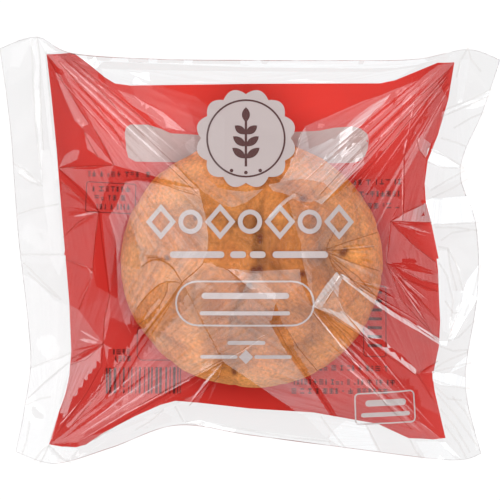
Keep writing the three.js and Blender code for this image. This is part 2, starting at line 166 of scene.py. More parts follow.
# The front film's facets between its folds: how much each shines, and its corners in the
# photograph. Where they overlap, the later one counts.
PLAIN_SHINE = 0.05
STEEP = 0.77  # faces whose normal rises less than this mirror the dark below the panels' edges
FACETS = [
    (0.1, (48, 55), (57, 74), (66, 98), (76, 121), (84, 129), (82, 151), (75, 150), (66, 156),
     (60, 168), (58, 150), (53, 100)),
    (1.05, (57, 74), (62, 76), (74, 98), (91, 125), (84, 129), (76, 121), (66, 98)),
    (0.8, (58, 55), (75, 54), (90, 65), (100, 74), (100, 88), (85, 78)),
    (0.3, (62, 76), (66, 76), (80, 100), (97, 131), (91, 125), (74, 98)),
    (0.85, (48, 55), (66, 76), (80, 100), (97, 131), (116, 166), (200, 190), (155, 128),
     (108, 86), (75, 60)),
    (0.45, (98, 61), (130, 75), (160, 87), (196, 98), (225, 120), (225, 185), (200, 190),
     (155, 128), (108, 86)),
    (0.9, (166, 160), (178, 150), (195, 138), (200, 158), (206, 176), (218, 188), (228, 191),
     (228, 207), (222, 205), (212, 198), (200, 190), (184, 172)),
    (1.3, (228, 191), (246, 193), (263, 190), (256, 196), (245, 204), (233, 208), (228, 207)),
    (0.4, (108, 88), (118, 93), (140, 108), (164, 124), (155, 124), (128, 104)),
    (1.8, (119, 91), (135, 97), (165, 114), (187, 133), (165, 130), (135, 108)),
    (0.9, (86, 133), (92, 137), (116, 166), (100, 158), (89, 150)),
    (0.25, (84, 129), (91, 125), (97, 131), (116, 166), (92, 137), (86, 133)),
    (0.05, (84, 129), (86, 133), (89, 150), (100, 158), (116, 166), (60, 168), (79, 160),
     (82, 151)),
    (0.85, (60, 168), (66, 156), (75, 150), (82, 151), (79, 160)),
    (0.55, (60, 168), (116, 166), (101, 211), (87, 191), (72, 178)),
    (0.03, (60, 168), (72, 178), (87, 191), (101, 211), (80, 196), (63, 180)),
    (0.35, (63, 180), (80, 196), (101, 211), (62, 206)),
    (0.3, (62, 206), (101, 211), (65, 238)),
    (0.35, (65, 238), (101, 211), (97, 240), (94, 269), (66, 259)),
    (0, (101, 211), (104, 214), (107, 250), (112, 293), (98, 285), (97, 240)),
    (0.3, (104, 214), (111, 216), (118, 240), (112, 293), (107, 250)),
    (0.1, (116, 166), (127, 183), (119, 205), (111, 216), (104, 214), (101, 211)),
    (1, (127, 183), (140, 180), (168, 185), (200, 190), (204, 205), (208, 222), (209.5, 238),
     (208.5, 252), (204, 262), (196, 271), (184, 281), (176, 268), (168, 261), (160, 258),
     (150, 261), (143, 267), (119, 262), (118, 240), (111, 216), (119, 205)),
    (0.45, (130, 215), (136, 230), (141, 250), (143, 267), (137, 280), (131, 300), (126, 300),
     (120, 262), (124, 235)),
    (0.5, (147, 254), (160, 255), (169, 258), (168, 261), (160, 258), (150, 261)),
    (0.3, (66, 259), (94, 269), (92, 280), (80, 309), (70, 304)),
    (0.2, (94, 269), (98, 285), (112, 293), (80, 309), (92, 280)),
    (0.3, (80, 309), (112, 293), (106, 318), (105, 342)),
    (0.7, (70, 304), (80, 309), (105, 342), (71, 363), (72, 345)),
    (0.7, (112, 293), (112, 316), (107, 336), (105, 342), (106, 318)),
    (0.05, (112, 316), (127, 322), (136, 336), (118, 347), (105, 342), (107, 336)),
    (0.35, (112, 293), (120, 298), (127, 322), (112, 316)),
    (1.35, (71, 363), (105, 342), (103, 364), (91, 387), (64, 422), (50, 443), (60, 410)),
    (0.9, (64, 422), (91, 387), (103, 364), (105, 366), (97, 390), (68, 424)),
    (1, (105, 366), (109, 362), (100, 393), (70, 427), (68, 424), (97, 390)),
    (0.8, (105, 342), (118, 347), (130, 356), (107, 397), (50, 443), (70, 427), (100, 393),
     (109, 362)),
    (0.7, (119, 262), (184, 281), (130, 356), (118, 347), (136, 336), (127, 322), (120, 298)),
    (0.85, (143, 267), (150, 261), (160, 258), (168, 261), (176, 268), (184, 281), (170, 280),
     (160, 284), (150, 293), (139, 306), (133, 300), (137, 280)),
    (0.3, (139, 306), (150, 293), (160, 284), (170, 280), (170, 290), (163, 302), (150, 316),
     (136, 326), (132, 315)),
    (0.8, (141, 319), (152, 306), (161, 297), (164, 299), (153, 311), (143, 322)),
    (0.8, (184, 281), (224, 359), (130, 410), (80, 440), (50, 443), (107, 397), (130, 356)),
    (0.9, (80, 440), (130, 410), (224, 359), (186, 421), (151, 430), (112, 446), (80, 458)),
    (0, (224, 359), (290, 405), (346, 446), (282, 437), (223, 429), (186, 421)),
    (0.9, (224, 359), (311, 303), (375, 385), (440, 437), (409, 454), (346, 446), (290, 405)),
    (0.9, (337, 274), (311, 303), (415, 372), (433, 372), (438, 341)),
    (0.15, (311, 305), (366, 337), (385, 352), (375, 385), (345, 350)),
    (0.4, (385, 352), (415, 372), (434, 390), (440, 415), (375, 385)),
    (0.6, (384, 262), (395, 268), (415, 285), (437, 290), (438, 320), (400, 300)),
    (1.1, (388, 262), (412, 263), (437, 273), (437, 283), (420, 280), (400, 270)),
    (0.1, (392, 267), (400, 270), (420, 280), (437, 283), (437, 291), (425, 290), (408, 281)),
    (0.9, (384, 262), (400, 300), (438, 320), (438, 341), (337, 274)),
    (0.2, (389, 221), (431, 222), (435, 245), (410, 243)),
    (0.95, (389, 221), (410, 243), (435, 262), (436, 272), (384, 262)),
    (0.15, (410, 243), (435, 245), (435, 262)),
    (2.6, (389, 221), (404, 212), (418, 205), (426, 202), (432, 224), (410, 223)),
    (0.6, (402, 158), (413, 132), (418, 150), (425, 158), (424, 180), (424, 203), (408, 211),
     (389, 221), (401, 200)),
    (2.5, (413, 132), (430, 144), (425, 158), (418, 150)),
    (0.7, (413, 132), (422, 106), (436, 84), (447, 100), (437, 135), (430, 144)),
    (0.2, (402, 158), (401, 200), (375, 190), (365, 178)),
    (0.05, (409, 126), (404, 134), (372, 166), (362, 176), (384, 150)),
    (0.7, (285, 190), (320, 205), (362, 176), (365, 178), (375, 190), (401, 200), (389, 221),
     (384, 262), (337, 274), (311, 303)),
    (0.75, (184, 281), (196, 271), (204, 262), (213, 262), (218, 266), (228, 268), (246, 284),
     (240, 297), (234, 312), (228, 335), (224, 359)),
    (1.6, (228, 268), (236, 268), (255, 270), (298, 268), (300, 283), (275, 300), (270, 322),
     (283, 345), (303, 373), (330, 414), (346, 446), (290, 405), (224, 359), (228, 335),
     (234, 312), (240, 297), (246, 284)),
    (0.2, (268, 318), (280, 318), (292, 338), (293, 346), (306, 366), (310, 374), (337, 414),
     (330, 414), (303, 373), (283, 345)),
    (1, (275, 300), (300, 283), (311, 306), (346, 352), (385, 400), (440, 437), (409, 454),
     (346, 446), (337, 414), (310, 374), (306, 366), (293, 346), (292, 338), (280, 318)),
    (1, (308, 215), (318, 208), (330, 212), (333, 230), (326, 243), (324, 250), (320, 262),
     (310, 268), (300, 256), (300, 245), (309, 236)),
    (3.4, (334, 271), (341, 276), (337, 284), (336, 296), (341, 309), (352, 319), (366, 328),
     (385, 341), (415, 368), (415, 372), (385, 351), (366, 337), (350, 325), (330, 312),
     (311, 305), (311, 303), (322, 287)),
    (1.6, (331, 288), (336, 296), (340, 308), (335, 312), (320, 305)),
    (4.6, (334, 271), (338, 275), (326, 290), (314, 304), (311, 303), (322, 286)),
    (4.6, (325, 306), (340, 312), (352, 318.5), (366, 327), (385, 341), (400, 353), (415, 368),
     (414, 373), (399, 361), (384, 348.5), (366, 334.5), (350, 325), (338, 317)),
    (5.2, (338, 273), (342, 273.5), (373, 296.5), (393, 309.5), (439, 338), (438, 343.5),
     (392, 316), (371, 302), (341, 278.5)),
    (1.15, (304, 128), (360, 103), (415, 82), (437, 66), (453, 63), (436, 84), (422, 106),
     (409, 126), (384, 150), (362, 176), (320, 205), (285, 190)),
    (3.2, (290, 160), (330, 140), (358, 146), (362, 165), (335, 190), (320, 205), (285, 190)),
    (2.4, (298, 140), (304, 128), (308, 150), (290, 175), (285, 190), (275, 188), (284, 176),
     (292, 162)),
    (1.7, (268, 186), (285, 182), (300, 180), (322, 184), (330, 192), (318, 200), (308, 203),
     (297, 202), (285, 195), (272, 192)),
    (3.2, (389, 95), (382, 106), (366, 121), (352, 138), (338, 156), (322, 175), (315, 173),
     (325, 155), (337, 136), (352, 120), (370, 106)),
    (4.6, (387, 97), (380, 106), (362, 124), (346, 143), (332, 161), (321, 172), (325, 160),
     (338, 141), (354, 122), (373, 106)),
    (3.2, (294, 194), (295, 197), (287, 202), (279, 209), (270, 218), (267, 218), (276, 207),
     (284, 200)),
]
# The same for the seals and the clear strips along the folded sides, which have no print behind.
CLEAR_FACETS = [
    (0, (-5, 40), (38, 36), (48, 55), (53, 100), (58, 150), (62, 200), (66, 250), (70, 300),
     (15, 300), (8, 200), (-4, 100)),
    (0.25, (0, 48), (33, 40), (26, 55), (20, 68), (14, 66), (4, 75)),
    (0.9, (31, 36), (38, 36), (41, 60), (42, 120), (44, 150), (50, 190), (45, 190), (40, 165),
     (36, 120), (34, 80)),
    (0.6, (40, 42), (47, 53), (50, 90), (55, 130), (60, 180), (56, 180), (50, 140), (46, 100),
     (43, 70)),
    (1.2, (38, 37), (50, 41), (64, 46), (74, 54), (48, 54), (44, 48)),
    (0.4, (14, 163), (22, 164), (32, 170), (42, 182), (30, 181), (20, 174)),
    (0.5, (44, 150), (50, 150), (60, 190), (62, 250), (66, 260), (60, 275), (52, 262), (50, 235),
     (46, 210), (44, 190)),
    (0.2, (17, 222), (30, 215), (46, 210), (50, 235), (52, 262), (40, 265), (18, 260)),
    (0, (26, 262), (40, 262), (50, 268), (50, 285), (62, 300), (55, 298), (38, 280), (27, 272)),
    (0.5, (18, 270), (38, 282), (55, 300), (70, 305), (72, 345), (71, 352), (29, 368), (24, 330),
     (20, 303)),
    (0.95, (28, 368), (71, 352), (70, 375), (60, 410), (50, 443), (40, 465), (10, 455), (18, 430),
     (25, 397)),
    (5, (80, 57), (97, 56), (130, 58), (250, 60), (440, 59), (415, 66), (395, 69), (360, 70),
     (250, 69), (130, 64), (105, 63), (97, 70)),
    (3, (103, 70), (130, 71), (250, 73), (380, 73), (400, 70), (415, 68), (395, 80), (380, 84),
     (250, 84), (130, 86), (115, 84), (105, 78)),
    (0, (453, 63), (467, 48), (502, 58), (490, 92), (441, 112), (447, 100)),
    (1.3, (459, 60), (468, 60), (466, 80), (461, 103), (455, 104)),
    (2.4, (441, 112), (492, 89), (491, 94), (440, 118)),
    (1.3, (440, 118), (492, 94), (484, 120), (464, 163), (428, 150), (437, 135)),
    (8, (427, 148), (436, 150), (464, 168), (440, 167), (425, 160)),
    (1.6, (425, 160), (440, 167), (464, 168), (467, 175), (430, 190), (424, 183)),
    (0, (430, 190), (467, 175), (473, 195), (445, 200), (430, 200)),
    (8, (425, 200), (432, 198), (474, 195), (479, 222), (432, 224)),
    (0.4, (433, 224), (479, 222), (481, 240), (470, 246), (450, 250), (437, 245)),
    (0, (448, 226), (479, 224), (479, 236), (450, 238)),
    (2, (437, 250), (450, 250), (460, 270), (463, 300), (452, 335), (442, 330), (438, 300)),
    (0, (447, 248), (455, 262), (462, 290), (452, 290), (449, 272)),
    (8, (480, 262), (480, 290), (470, 310), (460, 325), (452, 340), (447, 338), (458, 310),
     (466, 280)),
    (8, (438, 340), (447, 340), (446, 345), (440, 344)),
    (0, (438, 345), (472, 345), (472, 352), (450, 360), (433, 366)),
    (6, (473, 350), (471, 362), (450, 372), (455, 364)),
    (7, (431, 370), (450, 372), (469, 378), (470, 388), (440, 384), (432, 380)),
    (0.6, (433, 385), (469, 390), (485, 456), (462, 459), (445, 437), (434, 390)),
    (7, (437, 441), (445, 441), (461, 458), (452, 454)),
    (0.9, (50, 443), (80, 447), (70, 463), (40, 463)),
    (1.2, (72, 462), (80, 447), (100, 436), (135, 418), (165, 406), (175, 404), (160, 420),
     (110, 437)),
    (0, (150, 418), (165, 410), (175, 416), (170, 421), (150, 424)),
    (0.7, (175, 403), (190, 402), (186, 420), (172, 418)),
    (0, (178, 402), (230, 406), (306, 412), (324, 430), (328, 438), (250, 428), (200, 418),
     (186, 419)),
    (2.4, (186, 421), (200, 418), (250, 428), (328, 438), (330, 447), (250, 437)),
    (2, (303, 412), (345, 418), (330, 430), (325, 436), (318, 428)),
    (5, (345, 418), (365, 423), (378, 450), (345, 448), (328, 437), (333, 428)),
    (1, (365, 423), (380, 425), (409, 438), (420, 458), (378, 451), (370, 436)),
    (4, (415, 440), (437, 440), (457, 460), (425, 458)),
]

# How much light the front film mirrors: faced, and at a glancing angle.
FACED, GLANCED = 0.085, 0.5
STREAK_SHINE = (0.66, 1.34)  # how much the fine streaks change that
BACK_GLOSS = 0.025  # the share that the back film mirrors

# The corners that the film's fine streaks run to, in the photograph, and streaks for each radian.
FILM_CORNERS = [(45, 56), (452, 62), (50, 445), (446, 440)]
STREAKS = 60

# Ridges on the front film: points in the photograph, the rise in mm, the half widths in mm to the
# left and to the right of the way from the first point to the last, and how much it shines.
RIDGES = [
    ([(311, 309), (345, 350), (375, 385), (440, 437)], 0.15, 0.5, 0.5, 4),
    ([(205, 262), (196, 271), (184, 281), (172, 300), (155, 322), (140, 338)], 0.25, 0.3, 0.3, 0.05),
    ([(228, 268), (246, 284)], 0.2, 0.3, 0.3, 0.1),
    ([(176, 165), (203, 192)], 0.25, 0.4, 0.4, 0.2),
    ([(139, 306), (150, 293), (160, 284), (170, 280), (184, 281)], 0.2, 0.3, 0.3, 0.1),
    ([(28, 398), (46, 381), (70, 361)], 0.2, 0.5, 0.5, 0.1),
    ([(50, 443), (107, 397), (130, 356), (184, 281)], 0.35, 0.4, 0.4, 0),
    ([(66, 436), (112, 403), (135, 360), (180, 290)], 0.25, 0.3, 0.4, 0),
    ([(80, 440), (130, 410), (224, 359)], 0.4, 0.4, 0.5, 2),
    ([(95, 441), (140, 415), (222, 364)], 0.25, 0.3, 0.4, 0.1),
    ([(272, 323), (306, 372), (336, 414)], -0.5, 1.2, 1.6, 0.1),
    ([(413, 100), (402, 158), (401, 221)], 0.3, 0.4, 0.5, 2),
    ([(389, 221), (384, 262)], 0.3, 0.4, 0.5, 2),
    ([(384, 262), (436, 274)], 0.4, 0.5, 0.5, 2.5),
    ([(389, 221), (432, 225)], 0.3, 0.4, 0.5, 2),
    ([(105, 342), (72, 363)], 0.35, 0.5, 0.4, 1.6),
    ([(105, 342), (72, 350)], 0.2, 0.3, 0.3, 0.1),
    ([(117, 187), (125, 182), (140, 180), (165, 185), (195, 193)], 0.3, 0.4, 0.5, 0.2),
    ([(143, 267), (150, 261), (160, 258), (168, 261), (176, 268), (184, 281)], 0.25, 0.35, 0.35, 0.1),
    ([(66, 259), (94, 269), (92, 280), (80, 300)], 0.3, 0.4, 0.5, 1),
    ([(224, 359), (190, 402)], 0.35, 0.5, 0.8, 2),
    ([(225, 360), (208, 402)], 0.25, 0.4, 0.6, 0.2),
]

# Painted shade along the sharp creases of the front film, which show as fine dark lines: points in the
# photograph.
CREASE_SHADE_PATHS = [
    [(125, 187), (130, 181), (140, 179.5), (152, 181), (165, 185), (180, 191), (197, 196)],
    [(205, 262), (196, 271), (184, 281), (172, 300), (155, 322), (140, 340), (120, 362), (98, 386)],
    [(228, 268), (237, 276), (246, 284)],
    [(143, 267), (150, 261), (160, 258), (168, 261), (176, 268), (184, 281)],
    [(150, 257), (160, 257), (168, 259)],
    [(139, 306), (150, 293), (160, 284), (168, 280), (176, 280), (184, 283)],
    [(136, 326), (150, 316), (163, 302), (169, 290), (170, 281)],
    [(176, 165), (190, 180), (203, 192)], [(170, 167), (188, 184), (199, 195)],
    [(324, 250), (333, 270), (341, 276)], [(324, 250), (326, 243), (333, 230)],
    [(324, 249), (350, 240), (376, 232)], [(324, 250), (352, 249), (372, 246)],
    [(324, 251), (350, 262), (377, 270)], [(326, 254), (355, 275), (377, 299)],
    [(327, 256), (345, 274), (360, 290)], [(329, 262), (336, 270), (350, 279), (372, 294)],
    [(313, 306), (335, 317.5), (362, 336), (386, 354), (415, 374)],
    [(311, 311), (329, 332), (346, 353), (366, 379), (384, 402), (410, 427)],
    [(320, 310), (345, 330), (360, 345)], [(318, 312), (335, 330), (352, 352)],
    [(316, 308), (340, 330), (372, 372)],
    [(224, 359), (206, 370), (188, 380), (150, 402), (95, 438)],
    [(224, 359), (221, 372), (210, 384), (190, 403)], [(222, 357), (200, 370), (178, 381), (140, 403)],
    [(275, 322), (285, 342), (305, 372), (320, 395), (333, 414)], [(285, 325), (297, 345), (316, 368)],
    [(101, 211), (85, 200), (62, 182)], [(101, 211), (80, 222), (64, 237)],
    [(101, 211), (97, 240), (94, 269)], [(101, 211), (104, 240), (111, 292)],
    [(60, 168), (80, 167), (116, 166)], [(60, 169), (80, 188), (101, 211)],
    [(97, 131), (107, 148), (116, 166)], [(84, 130), (92, 145), (100, 158)],
    [(50, 60), (74, 98), (91, 125)], [(60, 62), (90, 96), (116, 130), (127, 150)],
    [(66, 60), (100, 90), (140, 132), (176, 165)], [(75, 62), (104, 86), (130, 108), (155, 130)],
    [(105, 342), (86, 350), (72, 358)], [(105, 342), (88, 358), (71, 364)],
    [(105, 342), (103, 364), (88, 392), (60, 430)], [(109, 362), (100, 392), (74, 422)],
    [(112, 293), (106, 318), (105, 342)], [(66, 259), (82, 264), (94, 269), (92, 280), (80, 309)],
    [(450, 68), (420, 96), (390, 120), (360, 150), (318, 196)],
    [(448, 72), (425, 98), (398, 124), (370, 152), (335, 190)],
    [(446, 78), (428, 98), (402, 128), (384, 150), (350, 185)],
    [(447, 84), (430, 104), (413, 128), (402, 158)], [(402, 158), (403, 190), (401, 221)],
    [(413, 132), (418, 150), (425, 160)], [(389, 221), (386, 240), (384, 262)],
    [(389, 221), (410, 222), (431, 222)], [(389, 221), (402, 212), (423, 204)],
    [(389, 221), (410, 243), (435, 262)], [(384, 262), (400, 268), (420, 279), (437, 284)],
    [(384, 262), (402, 278), (437, 291)], [(384, 262), (400, 300), (436, 338)],
    [(386, 266), (408, 300), (430, 330)], [(391, 270), (415, 296), (437, 320)],
    [(415, 372), (425, 368), (437, 360)], [(415, 372), (424, 384), (433, 400)],
]

# The same painted shade on the seals, where the lines are grey.
SEAL_CREASE_SHADE_PATHS = [
    [(441, 111), (465, 102), (492, 89)], [(440, 117), (468, 105), (491, 95)],
    [(453, 128), (470, 118), (484, 112)], [(440, 138), (455, 142), (466, 146)],
    [(427, 148), (445, 156), (464, 167)], [(425, 161), (442, 167), (464, 168)],
    [(430, 190), (445, 181), (465, 170)], [(432, 197), (452, 188), (468, 178)],
    [(433, 224), (455, 223), (479, 222)], [(434, 227), (456, 227), (478, 230)],
    [(440, 240), (452, 232), (470, 230)], [(437, 246), (447, 248), (455, 262), (462, 290)],
    [(447, 249), (450, 268), (456, 290)], [(438, 262), (446, 275), (452, 300), (450, 325)],
    [(444, 300), (452, 312), (458, 312)], [(447, 338), (459, 324), (472, 296), (480, 264)],
    [(447, 340), (458, 336), (474, 320)], [(438, 345), (452, 350), (469, 349)],
    [(433, 368), (446, 360), (468, 351)], [(432, 371), (450, 367), (471, 362)],
    [(433, 379), (450, 385), (470, 388)], [(434, 385), (448, 398), (462, 400)],
    [(436, 392), (455, 414), (478, 446)], [(440, 408), (456, 428), (470, 452)],
    [(444, 424), (458, 442), (466, 457)], [(452, 396), (466, 412), (474, 430)],
    [(467, 48), (459, 62), (455, 78)], [(467, 48), (470, 60), (480, 72)],
    [(38, 37), (41, 60), (42, 120), (44, 150)], [(33, 40), (34, 80), (37, 130), (42, 170)],
    [(47, 53), (50, 90), (55, 140)], [(14, 163), (26, 170), (42, 184)],
    [(20, 174), (32, 182), (44, 186)], [(18, 214), (36, 208), (60, 204)],
    [(22, 254), (40, 254), (66, 254)], [(24, 262), (40, 278), (62, 299)],
    [(28, 272), (44, 286), (58, 297)], [(29, 368), (50, 360), (72, 352)],
    [(28, 398), (46, 381), (70, 361)], [(27, 404), (40, 398), (52, 396)],
    [(30, 420), (27, 440), (22, 454)], [(40, 463), (45, 454), (50, 444)],
    [(34, 461), (42, 450), (50, 444)], [(50, 444), (62, 456), (72, 462)],
    [(186, 420), (230, 425), (280, 434), (330, 440)], [(176, 404), (180, 412), (184, 420)],
    [(165, 407), (150, 420), (136, 428)], [(320, 414), (330, 428), (345, 447)],
    [(365, 423), (374, 440), (380, 451)], [(409, 438), (415, 450), (422, 458)],
]

# Fans of fine ridges: the two ends of the line that they start on, the two ends of the line that
# they run to, how many, and their greatest rise.
FANS = [
    ((440, 60), (456, 78), (290, 186), (372, 236), 19, 0.24),
    ((46, 64), (64, 54), (150, 178), (206, 178), 6, 0.14),
    ((48, 436), (62, 447), (120, 352), (196, 362), 6, 0.2),
    ((438, 428), (430, 440), (330, 296), (300, 330), 8, 0.25),
    ((384, 262), (386, 266), (430, 340), (438, 300), 6, 0.25),
    ((337, 274), (338, 276), (425, 325), (400, 285), 4, 0.2),
    ((389, 221), (392, 222), (431, 232), (428, 250), 4, 0.2),
    ((101, 211), (102, 212), (62, 190), (66, 240), 5, -0.16),
    ((105, 342), (106, 343), (70, 320), (72, 372), 4, 0.2),
    ((311, 303), (312, 305), (400, 380), (360, 352), 5, 0.25),
    ((415, 372), (417, 374), (438, 420), (438, 355), 4, 0.25),
    ((324, 249), (325, 252), (380, 236), (378, 284), 9, -0.18),
]


def px(x, y):
    """A point of the photograph as millimetres in the frame."""
    return ((x - CENTRE_PX[0]) * PIXEL, (CENTRE_PX[1] - y) * PIXEL + BOX_SHIFT)


# ------------------------------------------------------------------ curves
def spline(points, samples=600):
    """A smooth curve through points, as a function of the share of its length."""
    knots = np.array(points, float)
    ends = np.vstack([knots[0], knots, knots[-1]])
    t = np.linspace(0, len(knots) - 1, samples + 1)
    t[-1] -= 1e-9
    i = t.astype(int)
    w = (t - i)[:, None]
    before, start, end, after = ends[i], ends[i + 1], ends[i + 2], ends[i + 3]
    leave = (end - before) / 2
    arrive = (after - start) / 2
    curve = ((2 * start - 2 * end + leave + arrive) * w**3
             + (3 * end - 3 * start - 2 * leave - arrive) * w**2 + leave * w + start)
    steps = np.linalg.norm(np.diff(curve, axis=0), axis=1)
    share = np.concatenate([[0], np.cumsum(steps)])
    share /= share[-1]
    return lambda s: np.stack([np.interp(s, share, curve[:, k]) for k in range(2)], -1)


def patch(lower, upper, left, right, u, v):
    """Points of a patch stretched between four curves, lower and upper run along u."""
    low, high, start, end = lower(u), upper(u), left(v), right(v)
    u = u[..., None]
    v = v[..., None]
    corners = ((1 - v) * ((1 - u) * left(np.zeros(1)) + u * right(np.zeros(1)))
               + v * ((1 - u) * left(np.ones(1)) + u * right(np.ones(1))))
    return (1 - v) * low + v * high + (1 - u) * start + u * end - corners


def film_grid(columns, rows):
    v, u = np.meshgrid(np.linspace(0, 1, rows + 1), np.linspace(0, 1, columns + 1), indexing="ij")
    return u, v


# ------------------------------------------------------------------ the back film
SIDES = [spline(side) for side in (LOWER_SIDE, UPPER_SIDE, LEFT_SIDE, RIGHT_SIDE)]


def seal_line(points):
    """x of a seal's inner line at a height y on the page."""
    line = np.array([px(*p) for p in points])
    order = np.argsort(line[:, 1])
    return lambda y: np.interp(y, line[order, 1], line[order, 0])


def film_plan(u, v):
    """Where a point of the flat film lies seen from above, with the seals' inner lines on the
    print's sides."""
    rows = v[:, 0]
    knots = []
    for side, guess in ((RED_LEFT, 0.1), (RED_RIGHT, 0.9)):
        x_line = seal_line(side)
        share = np.full(len(rows), guess)
        for _ in range(6):
            here = patch(*SIDES, share, rows)
            ahead = patch(*SIDES, share + 0.01, rows)
            share = share + 0.01 * (x_line(here[:, 1]) - here[:, 0]) / (ahead[:, 0] - here[:, 0])
        knots.append(share)
    across = np.empty_like(u)
    for r in range(len(rows)):
        across[r] = np.interp(u[r], [0, SEAL_SHARE, 1 - SEAL_SHARE, 1],
                              [0, knots[0][r], knots[1][r], 1])
    plan = patch(*SIDES, across, v)
    plan[..., 1] += BOX_SHIFT
    return plan


def rim_height(u, v):
    """Height of the rim, carried through the pack."""
    c = RIM_CORNERS
    lower = c["lower_left"] * (1 - u) + c["lower_right"] * u
    upper = c["upper_left"] * (1 - u) + c["upper_right"] * u
    wave = (SEAL_WAVE["left"] * (1 - u) + SEAL_WAVE["right"] * u)
    wave = wave * np.cos(2 * np.pi * SEAL_WAVES * v + np.pi * u)
    at_seal = np.abs(2 * u - 1) ** 3 * np.sqrt(np.sin(np.pi * np.clip(v, 0, 1)))
    into_seal = np.clip(np.maximum(SEAL_SHARE - u, u - 1 + SEAL_SHARE) / SEAL_SHARE, 0, 1)
    crumple = 0
    for count, size, lean, start in SEAL_FOLDS:
        turn = count * v + lean * into_seal * np.sign(u - 0.5) + start + 0.37 * (u > 0.5)
        crumple = crumple + size * (4 * np.abs(turn - np.floor(turn) - 0.5) - 1)
    crumple = crumple * np.minimum(into_seal * 3, 1) * np.minimum(1, 12 * np.minimum(v, 1 - v))
    return (lower * (1 - v) + upper * v + RIM_LIFT * np.sin(np.pi * u) ** 0.8 + wave * at_seal
            - SEAL_DROP * np.interp(into_seal, [0, SEAL_STEP, 1], [0, 0.75, 1]) + crumple)


def back_height(u, v):
    s = np.clip((2 * u - 1) / (1 - 2 * SEAL_SHARE), -1, 1)
    t = 2 * v - 1 + 0.07 * (1 - (2 * v - 1) ** 2)
    ring = np.hypot(s, t)
    out = np.maximum(np.abs(s), np.abs(t))
    safe = np.maximum(ring, 1e-9)
    edge = 0.45 * out / safe
    share = np.where(ring <= 0.45, 0, np.clip((out - edge) / (1 - edge), 0, 1))
    aside = (t / safe) ** 2
    fall = 1.05 * (1 - aside) + 0.6 * aside
    height = rim_height(u, v) * (1 - (1 - share**1.4) ** fall)
    return np.maximum(height, 0.3)


# ------------------------------------------------------------------ the puff's outer form
def dome(x, y):
    """Height of the film where it lies on the puff, far below where it doesn't."""
    r = np.hypot((x - PUFF_CENTRE[0]) / (PUFF_RADII[0] + PUFF_GAP),
                 (y - PUFF_CENTRE[1]) / (PUFF_RADII[1] + PUFF_GAP))
    rise = PUFF_HEIGHT + PUFF_GAP - PUFF_EQUATOR
    return np.where(r < 1, PUFF_EQUATOR + rise * np.sqrt(np.clip(1 - r**2, 0, 1)), -100)


class Tent:
    """The film drawn straight from the rim to the puff, in each direction."""

    def __init__(self, rim):
        """rim: (n, 3) points all round the inner part of the film."""
        dx, dy = rim[:, 0] - PUFF_CENTRE[0], rim[:, 1] - PUFF_CENTRE[1]
        angle = np.arctan2(dy, dx)
        order = np.argsort(angle)
        self.angle = angle[order]
        self.reach = np.hypot(dx, dy)[order]
        self.height = rim[order, 2]

    def folds(self, x, y):
        """The folds' rise above the tent."""
        dx, dy = x - PUFF_CENTRE[0], y - PUFF_CENTRE[1]
        reach = np.interp(np.arctan2(dy, dx), self.angle, self.reach, period=2 * np.pi)
        height = np.zeros(np.shape(x))
        for (x0, y0), (x1, y1), rise, width in FOLDS:
            length = math.hypot(x1 - x0, y1 - y0)
            along = ((x - x0) * (x1 - x0) + (y - y0) * (y1 - y0)) / length**2
            aside = np.abs((x - x0) * (y1 - y0) - (y - y0) * (x1 - x0)) / length
            crest = np.sin(np.pi * np.clip(along, 0, 1)) ** 0.7
            height += rise * np.clip(1 - aside / width, 0, 1) * crest
        return height * np.clip(6 * (1 - np.hypot(dx, dy) / reach), 0, 1)

    def __call__(self, x, y):
        dx, dy = x - PUFF_CENTRE[0], y - PUFF_CENTRE[1]
        r = np.hypot(dx, dy)
        angle = np.arctan2(dy, dx)
        reach = np.interp(angle, self.angle, self.reach, period=2 * np.pi)
        rim = np.interp(angle, self.angle, self.height, period=2 * np.pi)
        a, b = PUFF_RADII[0] + TENT_GAP, PUFF_RADII[1] + TENT_GAP
        radius = 1 / np.hypot(np.cos(angle) / a, np.sin(angle) / b)
        rise = PUFF_HEIGHT + TENT_GAP - PUFF_EQUATOR
        far, level = reach / radius, (rim - PUFF_EQUATOR) / rise
        touch = np.arctan2(level, far) + np.arccos(1 / np.maximum(np.hypot(far, level), 1.001))
        tx, tz = np.cos(touch), np.sin(touch)
        at = r / radius
        line = tz + (level - tz) * (at - tx) / (far - tx)
        bulge = np.sqrt(np.clip(1 - at**2, 0, 1))
        return PUFF_EQUATOR + rise * np.where(at <= tx, bulge, line)


# ------------------------------------------------------------------ facets
def inside(polygon, x, y):
    """Which of the points x, y are inside a polygon."""
    result = np.zeros(np.shape(x), bool)
    for (x0, y0), (x1, y1) in zip(polygon, polygon[1:] + polygon[:1]):
        if y0 != y1:
            result ^= ((y0 > y) != (y1 > y)) & (x < x0 + (y - y0) * (x1 - x0) / (y1 - y0))
    return result


def facet_net(rim, tent):
    """The coarse net of the front film, flat between the facets' corners: its points, its
    triangles, and the edges that a finer net keeps."""
    points = [tuple(p[:2]) for p in rim]
    count = len(points)
    edges = [(i, (i + 1) % count) for i in range(count)]
    for _, *corners in FACETS:
        first = len(points)
        points += [px(*c) for c in corners]
        edges += [(first + i, first + (i + 1) % len(corners)) for i in range(len(corners))]
    flat, _, faces, origins, _, _ = delaunay_2d_cdt([Vector(p) for p in points], edges, [], 1, 1e-4)
    flat = np.array([tuple(v) for v in flat])
    height = tent(flat[:, 0], flat[:, 1])
    for i, sources in enumerate(origins):
        on_rim = [s for s in sources if s < count]
        if on_rim:
            height[i] = rim[on_rim[0], 2]
        else:
            height[i] += CREASE_LIFT * noise.noise(Vector((flat[i, 0] / 8, flat[i, 1] / 8, 2.2)))
    return np.column_stack([flat, height]), [list(f) for f in faces], edges, points


